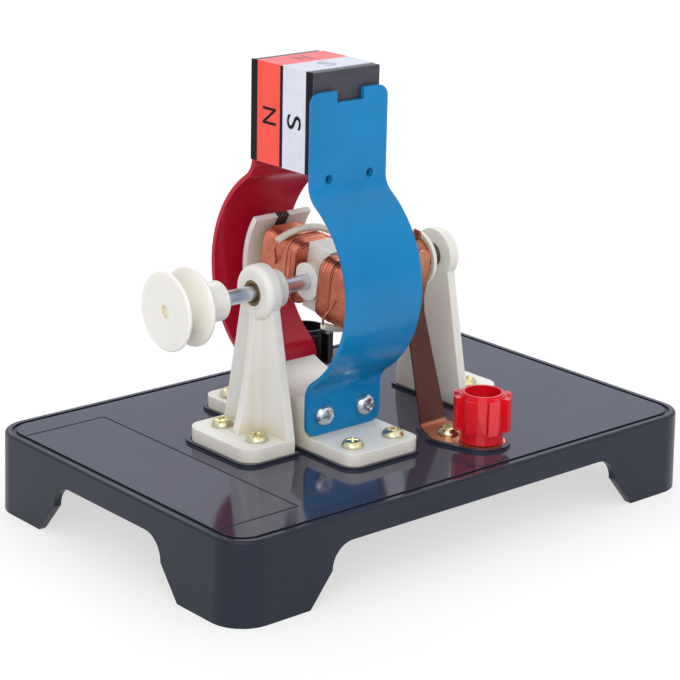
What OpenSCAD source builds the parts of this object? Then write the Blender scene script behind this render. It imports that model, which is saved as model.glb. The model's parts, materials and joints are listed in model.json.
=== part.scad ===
// Demonstration electric motor: a two-pole wound armature turns between two
// bent steel pole shoes that carry the field of a pair of block magnets.
// Origin: centre of the base's footprint, on the surface it stands on.
// +X runs along the shaft from the pulley to the commutator, +Z is up.

/* [Base] */
// Length of the moulded base, along the shaft
base_len = 160; // [150:1:190]
// Width of the moulded base, across the shaft
base_wid = 106; // [100:1:130]
// Height of the base's top face above the table
base_h = 22; // [20:0.5:30]
// Radius of the base's vertical corners
base_corner_r = 9.5; // [8:0.5:14]
// Thickness of the base's side walls
base_wall = 2.2; // [1.6:0.1:3]
// Thickness of the base's top plate
deck_t = 2.5; // [2:0.1:4]
// How much wider the walls are at the foot than at the top, each side
base_flare = 0.5; // [0.2:0.1:1]
// Rounding of the base's upper edge
rim_round = 0.8; // [0.4:0.1:1.2]
// Distance from the base's upper edge to the groove around the plate
rim_w = 1.8; // [1.4:0.1:2.4]
// Width of the groove around the plate
groove_w = 1.2; // [0.8:0.1:2]
// Depth of the groove around the plate
groove_d = 0.6; // [0.3:0.1:1]
// Height of the arches between the feet
arch_h = 15; // [12:0.5:16]
// Length of wall that stands on the table at each end of a long side
long_foot_w = 23; // [20:1:30]
// Length of wall that stands on the table at each end of a short side
short_foot_w = 23; // [20:1:30]
// How far the foot of an arch spreads outwards
arch_lean = 7; // [4:0.5:10]
// Radius of the upper corners of an arch
arch_round = 6.5; // [3:0.5:8]
// Height of the low ridge that frames each fitting
ridge_h = 0.8; // [0.4:0.1:1.5]
// Width of the low ridge that frames each fitting
ridge_w = 1; // [0.6:0.1:1.6]

/* [Shaft line] */
// Height of the shaft's centre line above the table
axis_z = 63.2; // [62:0.1:66]
// Diameter of the steel shaft
shaft_d = 4; // [3:0.1:5]
// Position of the shaft's end inside the pulley
shaft_start = -58; // [-60:0.5:-55]
// Position of the shaft's end at the commutator side
shaft_end = 33.6; // [33:0.1:36]
// Running clearance of the shaft in its bushes, on the radius
running_gap = 0.05; // [0.02:0.01:0.1]
// Space that is left between a moving piece and its neighbour
clear_gap = 0.3; // [0.2:0.05:0.5]

/* [Bearing pedestals] */
// Distance from the base's centre to each pedestal's flat inner face
pedestal_face = 29.4; // [28:0.1:31]
// Length of a pedestal's foot, along the shaft
pedestal_foot_len = 15.6; // [14:0.1:20]
// Width of a pedestal's foot, across the shaft
pedestal_foot_wid = 26.6; // [24:0.2:32]
// Thickness of a pedestal's foot
pedestal_foot_t = 4.2; // [3:0.1:6]
// Corner radius of a pedestal's foot
pedestal_corner_r = 4.6; // [3:0.1:6]
// Thickness of a pedestal's upright at its edges
upright_t = 2.6; // [2:0.1:4]
// Width of a pedestal's upright where it meets the boss
upright_top_wid = 11.2; // [10:0.2:14]
// Diameter of a pedestal's boss
boss_d = 14.6; // [12:0.2:18]
// Length of a pedestal's boss, along the shaft
boss_len = 4.1; // [3:0.1:6]
// Rounding of the boss's outer edge
boss_round = 1.8; // [0.5:0.1:2]
// How far the central rib stands out at the foot
rib_reach = 6.7; // [5:0.1:9]
// Half the thickness of the rib
rib_half = 1.1; // [0.8:0.1:2]
// Radius of the hollow curves at the rib's root
rib_fillet = 1.8; // [1:0.1:3]
// Distance of a foot's screws from the shaft's plane
pedestal_screw_y = 7.3; // [6:0.1:9]
// Distance of a foot's screws from the pedestal's flat face
pedestal_screw_x = 7.9; // [6:0.1:10]
// Outer diameter of a bearing bush
bush_d = 6.8; // [6:0.1:9]

/* [Pole block and shoes] */
// Position of the pole block's centre, along the shaft
pole_x = -13.5; // [-14:0.1:-13]
// Length of the pole block, along the shaft
block_len = 24; // [22:0.5:26]
// Height of the pole block's top edges above the table
block_top = 37.4; // [37:0.1:39]
// Radius of the hollow in the block's top, about the shaft
saddle_r = 28.8; // [27.5:0.1:30]
// Thickness of the pole block's flanges
flange_t = 4; // [3:0.1:6]
// Overall width of the pole block over its flanges
flange_span = 62.4; // [60:0.2:70]
// Corner radius of the flanges
flange_corner_r = 3.6; // [2:0.1:5]
// Distance of the flange screws from the shaft's plane
flange_screw_y = 25.5; // [24:0.1:28]
// Spacing of the screws in the flanges and in the shoes
pole_screw_pitch = 13.9; // [12:0.1:16]
// Width of a pole shoe's steel strip
shoe_w = 25; // [23:0.5:26]
// Thickness of a pole shoe's steel strip
shoe_t = 1.3; // [1:0.1:1.8]
// Inner radius of the curved stretch of a shoe
shoe_r = 27.7; // [27:0.1:30]
// Height of the centre of the shoes' curve above the shaft's centre
shoe_rise = 1.5; // [0:0.1:2.5]
// Radius of the bends between the curved and flat stretches
shoe_bend_r = 5.4; // [4:0.1:8]
// Distance between the inner faces of the shoes' flat stretches
shoe_gap = 25.2; // [24.8:0.1:26]
// Height of the shoes' top edge above the shaft's centre
shoe_top_rise = 53; // [50:0.2:55]
// How far the red shoe leans towards the commutator, in degrees
red_shoe_lean = 2.8; // [0:0.1:3]
// Corner radius of the shoes' top
shoe_corner_r = 3; // [2:0.1:5]
// Width of the notch in the shoes' top
notch_w = 8.8; // [6:0.1:12]
// Depth of the notch in the shoes' top
notch_d = 3; // [2:0.1:5]
// Spacing of the two magnet stops in each shoe
stop_pitch = 13.6; // [10:0.1:16]
// Diameter of a magnet stop
stop_d = 2.2; // [1.6:0.1:3]
// How far a magnet stop stands out of the shoe's inner face
stop_reach = 0.8; // [0.5:0.1:1.2]

/* [Magnets] */
// Length of a magnet, along the shaft
magnet_len = 22; // [20:0.2:24]
// Height of a magnet
magnet_h = 26; // [22:0.5:30]
// Height of the magnets' underside above the shaft's centre
magnet_rise = 31.8; // [31.8:0.1:34]
// Width of the coloured label on each magnet's end and top
label_w = 9.8; // [8:0.1:11]
// Thickness of a label
label_t = 0.2; // [0.15:0.05:0.3]

/* [Armature] */
// Position of the armature's centre, along the shaft
arm_x = -8.5; // [-9:0.1:-8.2]
// Angle of the armature's poles about the shaft, as stored
arm_angle = 8; // [0:1:20]
// Outer radius of the pole faces
pole_r = 23.6; // [22:0.1:24]
// Half the angle that a pole face spans
pole_half_angle = 28; // [22:1:30]
// Thickness of the iron core
core_t = 4; // [3:0.1:6]
// Length of the pole flanges, along the shaft
pole_len = 18.8; // [17:0.1:20]
// Thickness of the pole flanges
pole_flange_t = 1.6; // [1.2:0.1:2]
// Width of the iron in an arm
arm_core_w = 8.8; // [8:0.1:9.4]
// Thickness of the plastic that covers the arm
arm_skin = 1.5; // [1:0.1:1.6]
// Width of the middle block between the coils
hub_block_w = 8.6; // [8:0.1:10]
// Height of the middle block between the coils
hub_block_h = 18; // [17.8:0.2:20]
// Height of the flat-sided collars before and behind the middle block
hub_collar_d = 10; // [9:0.2:12]
// Length of the collars on both sides of the middle block
hub_collar_len = 3.5; // [2:0.1:5]

/* [Coils] */
// Loops in the outer layer of a coil
coil_loops = 11; // [8:1:11]
// Diameter of a loop's tube
wire_d = 0.75; // [0.6:0.05:0.75]
// Length of a coil along its arm
coil_len = 15.2; // [14.8:0.1:15.3]
// Thickness of the winding before and behind the arm, under the outer layer
coil_build = 2.8; // [2:0.1:2.9]
// Thickness of the winding above and below the arm, under the outer layer
coil_rise = 1.9; // [1.6:0.1:2.4]
// Corner radius of the winding
coil_corner_r = 3; // [2.5:0.1:3.5]
// Space between the outer layer and the winding under it
layer_gap = 0.15; // [0.12:0.01:0.2]
// Outer diameter of the sleeves on the coils' leads
sleeve_d = 1.9; // [1.2:0.1:1.9]

/* [Commutator and brushes] */
// Start of the commutator, along the shaft
comm_start = 12.5; // [11:0.1:14]
// Length of the commutator's drum
comm_len = 10.5; // [9:0.1:11]
// Diameter over the copper segments
comm_d = 13; // [12:0.1:13.5]
// Thickness of the copper segments
segment_t = 0.9; // [0.6:0.1:1.2]
// Width of the slots between the segments
segment_slot = 1.2; // [0.8:0.1:2]
// Diameter of the commutator's end disc
comm_disc_d = 15.6; // [15:0.1:18]
// Thickness of the commutator's end disc
comm_disc_t = 1.2; // [1:0.1:2]
// Thickness of the brush strips
brush_t = 0.5; // [0.4:0.05:0.8]
// Width of a brush at its foot
brush_foot_w = 9.2; // [8:0.1:10]
// Width of a brush at the commutator
brush_tip_w = 4.8; // [4:0.1:6]

/* [Terminals] */
// Position of the terminals along the shaft
term_x = 15.3; // [14:0.1:17]
// Distance of the terminals from the shaft's plane
term_y = 36.1; // [35:0.1:40]
// Diameter of the socket for a lead's plug
socket_d = 4; // [3.9:0.05:4.1]
// Diameter of a terminal's threaded post
post_d = 6; // [5.6:0.1:6.4]
// Diameter of a cap's lower body
cap_d = 11.6; // [11:0.1:13]
// Diameter of a cap over its grips
cap_grip_d = 15.5; // [14:0.1:17]
// Height of a cap
cap_h = 13.3; // [12:0.1:15]
// Number of grips on a cap
cap_grips = 8; // [6:1:10]

/* [Pulley] */
// Diameter of the pulley's two flanges
pulley_d = 20.4; // [18:0.2:22]
// Position of the pulley's outer face, along the shaft
pulley_face = -61.2; // [-63:0.1:-60.5]
// Width of the grooved part of the pulley
pulley_w = 8.4; // [7:0.1:10]
// Diameter at the bottom of the belt groove
pulley_groove_d = 12.4; // [11:0.2:14]
// Diameter of the pulley's hub
pulley_hub_d = 10.4; // [9:0.2:12]
// Diameter of the blind dimple in the pulley's face
pulley_dimple_d = 3.2; // [2:0.1:4]
// Length of the pulley's hub
pulley_hub_len = 8.8; // [7:0.1:9.5]

/* [Screws] */
// Diameter of a screw's head
screw_head_d = 5.8; // [5:0.1:6.4]
// Height of a screw's head
screw_head_h = 1.9; // [1.4:0.1:2.4]
// Diameter of a screw's shank
screw_d = 2.8; // [2.4:0.1:3.2]
// Clearance of a screw or stud in its hole, on the radius
hole_gap = 0.1; // [0.05:0.05:0.3]

/* [Hidden] */
$fn = 64;
eps = 0.01;
rest_gap = 0.02;                          // between the magnets and their stops

deck_z = base_h - deck_t;
boss_depth = deck_z - arch_h - 0.3;      // screw bosses end above the arches
boss_r = screw_d / 2 + 1.8;

shaft_r = shaft_d / 2;
bush_bore_r = shaft_r + running_gap;
shaft_collar_r = 5.1;
shaft_collar_len = 3.9;

foot_top = base_h + pedestal_foot_t;
upright_len = axis_z - foot_top;
screw_grip = 6;                           // how far the screws reach below a foot

shoe_cz = axis_z + shoe_rise;             // centre height of the shoes' curve
shoe_mid_r = shoe_r + shoe_t / 2;
shoe_flat_y = shoe_gap / 2 + shoe_t / 2;  // middle of the steel in the flat stretches
shoe_bend_mid = shoe_bend_r + shoe_t / 2;
shoe_bend_y = shoe_flat_y + shoe_bend_mid;
shoe_bend_dz = sqrt(pow(shoe_mid_r + shoe_bend_mid, 2) - pow(shoe_bend_y, 2));
shoe_bend_angle = atan2(shoe_bend_dz, shoe_bend_y);
shoe_bottom = base_h + flange_t;
shoe_screw_z = shoe_bottom + 5.4;
shoe_top = axis_z + shoe_top_rise;
magnet_z = axis_z + magnet_rise;
stop_z = magnet_z - rest_gap - stop_d / 2;

magnet_t = shoe_gap / 2 - clear_gap;

pole_in_r = pole_r - pole_flange_t;
arm_skin_x = core_t / 2 + arm_skin;       // half thickness of a covered arm
arm_skin_y = arm_core_w / 2 + arm_skin;   // half width of a covered arm
coil_start = hub_block_w / 2 + 0.1;       // first point of a coil along its arm
coil_half_x = arm_skin_x + coil_build;
coil_half_y = arm_skin_y + coil_rise;
turn_offset = layer_gap + wire_d / 2;     // centre line of the outer layer
turn_bend = 0.6;                          // radius of the bends at a coil's two ends
turn_first = hub_block_w / 2 + wire_d + turn_bend;
turn_last = coil_start + coil_len - wire_d / 2;
turn_pitch = (turn_last - turn_first) / (coil_loops + 0.25);

comm_r = comm_d / 2;
drum_r = comm_r - segment_t;
brush_plane = comm_r + 0.15;              // inner face of a brush at the commutator
brush_x = 14.3;                           // middle of a brush at its bend
brush_tip_x = 19.6;                       // middle of a brush at the commutator
brush_foot_y = 18;
brush_foot_t = 0.8;
brush_screw = [12.2, 26.9];

cap_z = base_h + brush_foot_t + clear_gap;
cap_top = cap_z + cap_h;
post_flange_t = 0.8;
post_flange_r = 4.5;
socket_len = 7;
washer_r = 5;
nut_r = 4.6;                              // to the nut's corners
stud_r = post_d / 2 - 0.5;
post_top = cap_top - 5;
nut_t = 3.2;
washer_t = 0.8;

// ---- shared shapes -------------------------------------------------------

// Points of an arc, from angle a0 to a1
function arc(c, r, a0, a1, n = 12) =
    [for (i = [0:n]) c + r * [cos(a0 + (a1 - a0) * i / n), sin(a0 + (a1 - a0) * i / n)]];

// Outline round a ring of circles, each given as [centre, radius], counterclockwise
function round_outline(circles) =
    let (n = len(circles),
         side = [for (i = [0:n - 1])
             let (a = circles[i], b = circles[(i + 1) % n], d = b[0] - a[0])
             atan2(d[1], d[0]) - acos((a[1] - b[1]) / norm(d))])
    [for (i = [0:n - 1])
        let (from = side[(i + n - 1) % n], to = side[i] + (side[i] < from - 0.01 ? 360 : 0))
        each arc(circles[i][0], circles[i][1], from, to, 8)];

// Flat rectangle with round corners, centred
module round_rect(len, wid, r) {
    x = len / 2 - r;
    y = wid / 2 - r;
    polygon(round_outline([[[-x, -y], r], [[x, -y], r], [[x, y], r], [[-x, y], r]]));
}

// Points beside a route at a distance, on the side that the sign gives
function beside(route, d) =
    [for (i = [0:len(route) - 1])
        let (a = route[max(i - 1, 0)], b = route[min(i + 1, len(route) - 1)], t = (b - a) / norm(b - a))
        route[i] + d * [t[1], -t[0]]];

// Side view of a bent strip: a route with thickness
module strip(route, t) {
    n = len(route);
    other = beside(route, t / 2);
    polygon(concat(beside(route, -t / 2), [for (i = [n - 1:-1:0]) other[i]]));
}

// Foot outline with two round corners on its -X side and its flat side at x = 0
module foot_outline(len, wid, r, grow = 0) {
    x = -len - grow + r;
    y = wid / 2 + grow - r;
    tight = 0.3 + grow;
    back = wid / 2 + grow - tight;
    polygon(round_outline([[[x, -y], r], [[grow - tight, -back], tight], [[grow - tight, back], tight],
                           [[x, y], r]]));
}

// Flat outline of a brush's foot, which also goes round the terminal; y grows outwards
module brush_foot_outline(grow = 0) {
    left = brush_x - brush_foot_w / 2;
    right = brush_x + brush_foot_w / 2;
    corner = 1;
    round_terminal = cap_d / 2 + 0.8;
    round_screw = 3.2;
    screw_side = [left - 0.6, brush_screw[1] + 0.5];
    polygon(round_outline([[[left + corner, brush_foot_y + corner], corner + grow],
                           [[right - corner, brush_foot_y + corner], corner + grow],
                           [[term_x, term_y], round_terminal + grow],
                           [screw_side, round_screw + grow]]));
}

// Pan-head screw with a cross recess, its head on z = 0 and its shank below
module screw(len) {
    difference() {
        rotate_extrude()
            polygon(concat(
                [[0, -len], [screw_d / 2 - 0.6, -len], [screw_d / 2, -len + 0.9], [screw_d / 2, 0],
                 [screw_head_d / 2, 0], [screw_head_d / 2, 0.35]],
                [for (a = [15:15:90]) [screw_head_d / 2 * cos(a),
                                       0.35 + (screw_head_h - 0.35) * sin(a)]]));
        for (a = [45, 135])
            rotate(a) translate([0, 0, screw_head_h])
                cube([screw_head_d * 0.6, 0.7, 1.8], center = true);
    }
}

// Everything on the shaft line is drawn along +Z and laid along +X here
module on_shaft(x = 0) {
    translate([x, 0, axis_z]) rotate([0, 90, 0]) children();
}

// The armature's poles lie along local X of this frame; local Z runs along the shaft
module in_armature() {
    translate([arm_x, 0, axis_z]) rotate([arm_angle, 0, 0])
        rotate([90, 0, 0]) rotate([0, 90, 0]) children();
}

// ---- base ----------------------------------------------------------------

// Section of the wall, rim and groove; x is measured from the corner's centre
function wall_section() =
    let (r = base_corner_r, top = r - base_flare)
    concat(
        [[r, 0]],
        arc([top - rim_round, base_h - rim_round], rim_round, 0, 90, 6),
        [[top - rim_w, base_h], [top - rim_w, base_h - groove_d],
         [top - rim_w - groove_w, base_h - groove_d], [top - rim_w - groove_w, base_h],
         [top - rim_w - groove_w - 1, base_h], [top - rim_w - groove_w - 1, deck_z],
         [top - base_wall, deck_z], [r - base_wall, 0]]);

module base_shell() {
    cx = base_len / 2 - base_corner_r;
    cy = base_wid / 2 - base_corner_r;
    for (q = [[cx, cy, 0], [-cx, cy, 90], [-cx, -cy, 180], [cx, -cy, 270]])
        translate([q[0], q[1], 0]) rotate(q[2])
            rotate_extrude(angle = 90) polygon(wall_section());
    for (s = [-1, 1]) {
        translate([s * cx, 0, 0]) rotate(s > 0 ? 0 : 180)
            translate([0, cy, 0]) rotate([90, 0, 0])
                linear_extrude(2 * cy) polygon(wall_section());
        translate([0, s * cy, 0]) rotate(s > 0 ? 90 : 270)
            translate([0, cx, 0]) rotate([90, 0, 0])
                linear_extrude(2 * cx) polygon(wall_section());
    }
    deck_in = base_flare + rim_w + groove_w + 0.5;
    translate([0, 0, deck_z]) linear_extrude(deck_t)
        round_rect(base_len - 2 * deck_in, base_wid - 2 * deck_in, base_corner_r - deck_in);
}

// Outline of an arch in a wall: a flat top, round upper corners and feet that spread
module arch_outline(span) {
    corner = [span / 2 - arch_lean - arch_round, arch_h - arch_round];
    polygon(concat(
        [[-span / 2 - 0.8, -1], [-span / 2, 0]],
        arc([-corner[0], corner[1]], arch_round, 180, 90, 8),
        arc(corner, arch_round, 90, 0, 8),
        [[span / 2, 0], [span / 2 + 0.8, -1]]));
}

function pedestal_holes() =
    [for (sx = [-1, 1], sy = [-1, 1])
        [sx * (pedestal_face + pedestal_screw_x), sy * pedestal_screw_y]];
function flange_holes() =
    [for (sx = [-1, 1], sy = [-1, 1])
        [pole_x + sx * pole_screw_pitch / 2, sy * flange_screw_y]];
function brush_holes() = [for (sy = [-1, 1]) [brush_screw[0], sy * brush_screw[1]]];
function terminal_spots() = [for (sy = [-1, 1]) [term_x, sy * term_y]];

module fitting_outlines(grow) {
    for (s = [-1, 1])
        translate([s * pedestal_face, 0]) rotate(s > 0 ? 180 : 0)
            foot_outline(pedestal_foot_len, pedestal_foot_wid, pedestal_corner_r, grow);
    translate([pole_x, 0])
        round_rect(block_len + 2 * grow, flange_span + 2 * grow, flange_corner_r + grow);
}

module ridges() {
    linear_extrude(ridge_h) {
        difference() {
            fitting_outlines(0.2 + ridge_w);
            fitting_outlines(0.2);
        }
    }
    for (s = [-1, 1])
        linear_extrude(ridge_h) mirror([0, s > 0 ? 0 : 1])
            difference() {
                brush_foot_outline(0.2 + ridge_w);
                brush_foot_outline(0.2);
            }
}

module base() {
    panel_x = -51.7;
    panel_y = 41;
    line = 0.5;
    color([0.07, 0.075, 0.085]) {
        difference() {
            union() {
                base_shell();
                for (h = concat(pedestal_holes(), flange_holes(), brush_holes()))
                    translate([h[0], h[1], deck_z - boss_depth]) cylinder(h = boss_depth + 1, r = boss_r);
            }
            translate([0, base_wid / 2 + 1, 0]) rotate([90, 0, 0]) linear_extrude(base_wid + 2)
                arch_outline(base_len - 2 * long_foot_w);
            translate([-base_len / 2 - 1, 0, 0]) rotate([90, 0, 90]) linear_extrude(base_len + 2)
                arch_outline(base_wid - 2 * short_foot_w);
            for (h = concat(pedestal_holes(), flange_holes(), brush_holes()))
                translate([h[0], h[1], deck_z - boss_depth - 1])
                    cylinder(h = boss_depth + deck_t + 2, r = screw_d / 2 + hole_gap);
            for (h = terminal_spots())
                translate([h[0], h[1], deck_z - 1]) cylinder(h = deck_t + 2, r = stud_r + hole_gap);
            translate([0, 0, base_h - 0.25]) {
                translate([panel_x, -panel_y, 0]) cube([line, 2 * panel_y, 1]);
                for (s = [-1, 1])
                    translate([-base_len / 2 + 4, s * panel_y - line / 2, 0])
                        cube([base_len / 2 - 4 + panel_x, line, 1]);
            }
        }
        translate([0, 0, base_h - eps]) ridges();
    }
}

// ---- bearing pedestals ---------------------------------------------------

// Half width of the upright at a height above the foot's top
function upright_half(h) =
    let (bottom = pedestal_foot_wid / 2 - 0.2) bottom + (upright_top_wid / 2 - bottom) * h / upright_len;

// Plan of the rib: straight sides with a hollow curve at each root
module rib_plan() {
    face = -upright_t;
    root = rib_half + rib_fillet;
    tip = face - rib_reach - 1;
    difference() {
        translate([tip, -root]) square([0.5 - tip, 2 * root]);
        for (s = [-1, 1]) {
            translate([face - rib_fillet, s * root]) circle(rib_fillet);
            translate([tip - 1, s > 0 ? rib_half : -root - 1])
                square([face - rib_fillet - tip + 1, rib_fillet + 1]);
        }
    }
}

// Side view of the rib: it flares in a curve from the boss down to the foot
module rib_side() {
    polygon(concat(
        [[-upright_t + 0.5, upright_len], [-upright_t + 0.5, 0]],
        [for (i = [0:12]) let (u = i / 12)
            [-boss_len - (rib_reach + upright_t - boss_len) * pow(1 - u, 2), u * upright_len]]));
}

module rib() {
    intersection() {
        linear_extrude(upright_len) rib_plan();
        translate([0, pedestal_foot_wid / 2, 0]) rotate([90, 0, 0])
            linear_extrude(pedestal_foot_wid) rib_side();
        translate([-pedestal_foot_len, 0, 0]) rotate([90, 0, 90]) linear_extrude(pedestal_foot_len)
            polygon([[-upright_half(0) + 0.6, 0], [upright_half(0) - 0.6, 0],
                     [upright_half(upright_len) - 0.6, upright_len],
                     [-upright_half(upright_len) + 0.6, upright_len]]);
    }
}

// A pedestal with its flat inner face at x = 0 and its foot towards -X
module pedestal() {
    difference() {
        union() {
            translate([0, 0, base_h]) linear_extrude(pedestal_foot_t)
                foot_outline(pedestal_foot_len, pedestal_foot_wid, pedestal_corner_r);
            translate([-upright_t, 0, foot_top - eps]) rotate([90, 0, 90]) linear_extrude(upright_t)
                polygon([[-upright_half(0), 0], [upright_half(0), 0],
                         [upright_half(upright_len), upright_len], [-upright_half(upright_len), upright_len]]);
            translate([0, 0, foot_top - eps]) rib();
            translate([0, 0, axis_z]) rotate([0, -90, 0]) rotate_extrude()
                polygon(concat([[0, 0], [boss_d / 2, 0]],
                               arc([boss_d / 2 - boss_round, boss_len - boss_round], boss_round, 0, 90, 8), [[0, boss_len]]));
        }
        translate([1, 0, axis_z]) rotate([0, -90, 0])
            cylinder(h = pedestal_foot_len + 2, r = bush_d / 2);
        for (s = [-1, 1])
            translate([-pedestal_screw_x, s * pedestal_screw_y, base_h - 1])
                cylinder(h = pedestal_foot_t + 2, r = screw_d / 2 + hole_gap);
        for (s = [-1, 1])
            translate([-pedestal_screw_x, s * pedestal_screw_y, foot_top])
                cylinder(h = screw_head_h + 1, r = screw_head_d / 2 + 0.2);
    }
}

module pulley_pedestal() {
    color([0.93, 0.91, 0.84]) translate([-pedestal_face, 0, 0]) pedestal();
}

module commutator_pedestal() {
    color([0.93, 0.91, 0.84]) translate([pedestal_face, 0, 0]) rotate(180) pedestal();
}

// A bush fills its pedestal's boss and has a small mouth at its outer end
module bush() {
    difference() {
        cylinder(h = boss_len, r = bush_d / 2);
        translate([0, 0, -1]) cylinder(h = boss_len + 2, r = bush_bore_r);
        translate([0, 0, boss_len - 0.5]) cylinder(h = 0.5 + eps, r1 = bush_bore_r, r2 = bush_bore_r + 0.5);
    }
}

module pulley_end_bush() {
    color([0.60, 0.48, 0.28]) on_shaft(-pedestal_face) rotate([180, 0, 0]) bush();
}

module commutator_end_bush() {
    color([0.60, 0.48, 0.28]) on_shaft(pedestal_face) bush();
}

module pedestal_screws() {
    color([0.80, 0.68, 0.38]) for (h = pedestal_holes())
        translate([h[0], h[1], foot_top]) screw(pedestal_foot_t + screw_grip);
}

// ---- pole block and pole shoes -------------------------------------------

module pole_block() {
    body_t = shoe_gap;
    color([0.93, 0.91, 0.84]) difference() {
        union() {
            translate([pole_x, 0, base_h]) linear_extrude(flange_t)
                round_rect(block_len, flange_span, flange_corner_r);
            translate([pole_x - block_len / 2, -body_t / 2, base_h])
                cube([block_len, body_t, block_top - base_h]);
        }
        translate([pole_x - block_len / 2 - 1, 0, axis_z]) rotate([0, 90, 0])
            cylinder(h = block_len + 2, r = saddle_r, $fn = 128);
        for (h = flange_holes())
            translate([h[0], h[1], base_h - 1]) cylinder(h = flange_t + 2, r = screw_d / 2 + hole_gap);
        for (s = [-1, 1])
            translate([pole_x + s * pole_screw_pitch / 2, body_t / 2 + 1, shoe_screw_z])
                rotate([90, 0, 0]) cylinder(h = body_t + 2, r = screw_d / 2 + hole_gap);
    }
}

module pole_block_screws() {
    color([0.80, 0.68, 0.38]) for (h = flange_holes())
        translate([h[0], h[1], shoe_bottom]) screw(flange_t + screw_grip);
}

// Pie-shaped area used to cut a stretch out of a ring
module wedge(r, a0, a1) {
    mid = (a0 + a1) / 2;
    polygon([[0, 0], r * [cos(a0), sin(a0)], 1.5 * r * [cos(mid), sin(mid)], r * [cos(a1), sin(a1)]]);
}

module ring_stretch(r_in, t, a0, a1) {
    intersection() {
        difference() {
            circle(r_in + t, $fn = 128);
            circle(r_in, $fn = 128);
        }
        wedge(2 * (r_in + t), a0, a1);
    }
}

// Middle line of the steel: x grows away from the shaft, y is the height
function shoe_route() = concat(
    [[shoe_flat_y, shoe_bottom]],
    arc([shoe_bend_y, shoe_cz - shoe_bend_dz], shoe_bend_mid, 180, 180 - shoe_bend_angle, 8),
    arc([0, shoe_cz], shoe_mid_r, -shoe_bend_angle + 3, shoe_bend_angle - 3, 30),
    arc([shoe_bend_y, shoe_cz + shoe_bend_dz], shoe_bend_mid, 180 + shoe_bend_angle, 180, 8),
    [[shoe_flat_y, shoe_top]]);

// Face view of a shoe: round corners, a notch at the top
module shoe_face() {
    height = shoe_top - shoe_bottom;
    difference() {
        translate([0, shoe_bottom + height / 2]) round_rect(shoe_w, height, shoe_corner_r);
        translate([-notch_w / 2, shoe_top - notch_d]) square([notch_w, notch_d + 1]);
    }
}

// A shoe that bulges towards +Y and stands on its lower corner at the commutator's side.
// Its holes and stops stay in place, whatever its lean.
module pole_shoe(lean = 0) {
    pivot = [pole_x + shoe_w / 2 - shoe_corner_r, 0, shoe_bottom + shoe_corner_r];
    reach = shoe_r + shoe_t + 1;
    difference() {
        translate(pivot) rotate([0, lean, 0]) translate(-pivot) intersection() {
            translate([pole_x - shoe_w / 2 - 1, 0, 0]) rotate([90, 0, 90])
                linear_extrude(shoe_w + 2) strip(shoe_route(), shoe_t);
            translate([pole_x, reach, 0]) rotate([90, 0, 0]) linear_extrude(reach) shoe_face();
        }
        for (s = [-1, 1])
            translate([pole_x + s * pole_screw_pitch / 2, shoe_gap / 2 + shoe_t + 1, shoe_screw_z])
                rotate([90, 0, 0]) cylinder(h = shoe_t + 2, r = screw_d / 2 + hole_gap);
    }
    for (s = [-1, 1])
        translate([pole_x + s * stop_pitch / 2, shoe_gap / 2, stop_z]) rotate([90, 0, 0])
            translate([0, 0, -shoe_t / 2]) cylinder(h = stop_reach + shoe_t / 2, r = stop_d / 2);
}

module blue_pole_shoe() {
    color([0.09, 0.44, 0.72]) mirror([0, 1, 0]) pole_shoe();
}

module red_pole_shoe() {
    color([0.66, 0.07, 0.13]) pole_shoe(red_shoe_lean);
}

module pole_shoe_screws() {
    color([0.78, 0.79, 0.80]) for (sx = [-1, 1], sy = [-1, 1])
        translate([pole_x + sx * pole_screw_pitch / 2, sy * (shoe_gap / 2 + shoe_t), shoe_screw_z])
            rotate([-sy * 90, 0, 0]) screw(shoe_t + 5);
}

// ---- magnets -------------------------------------------------------------

module magnet(side) {
    color([0.16, 0.16, 0.17])
        translate([pole_x - magnet_len / 2, side > 0 ? 0 : -magnet_t, magnet_z])
            cube([magnet_len, magnet_t, magnet_h]);
}

module north_magnet() {
    magnet(1);
}

module south_magnet() {
    magnet(-1);
}

// A label covers a magnet's end face and folds over its top
module label(side) {
    x0 = pole_x - magnet_len / 2;
    y0 = side > 0 ? 0 : -label_w;
    translate([x0 - label_t, y0, magnet_z]) cube([label_t, label_w, magnet_h + label_t]);
    translate([x0 - label_t, y0, magnet_z + magnet_h]) cube([magnet_len + label_t, label_w, label_t]);
}

module north_label() {
    color([0.93, 0.30, 0.19]) label(1);
}

module south_label() {
    color([0.92, 0.91, 0.95]) label(-1);
}

// ---- shaft, collar and pulley --------------------------------------------

module rotor_shaft() {
    length = shaft_end - shaft_start;
    ch = 0.3;
    color([0.72, 0.74, 0.77]) on_shaft(shaft_start) rotate_extrude()
        polygon([[0, 0], [shaft_r - ch, 0], [shaft_r, ch], [shaft_r, length - ch],
                 [shaft_r - ch, length], [0, length]]);
}

module shaft_collar() {
    color([0.93, 0.91, 0.84]) on_shaft(-pedestal_face + clear_gap) difference() {
        cylinder(h = shaft_collar_len, r = shaft_collar_r);
        translate([0, 0, -1]) cylinder(h = shaft_collar_len + 2, r = shaft_r);
    }
}

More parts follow.
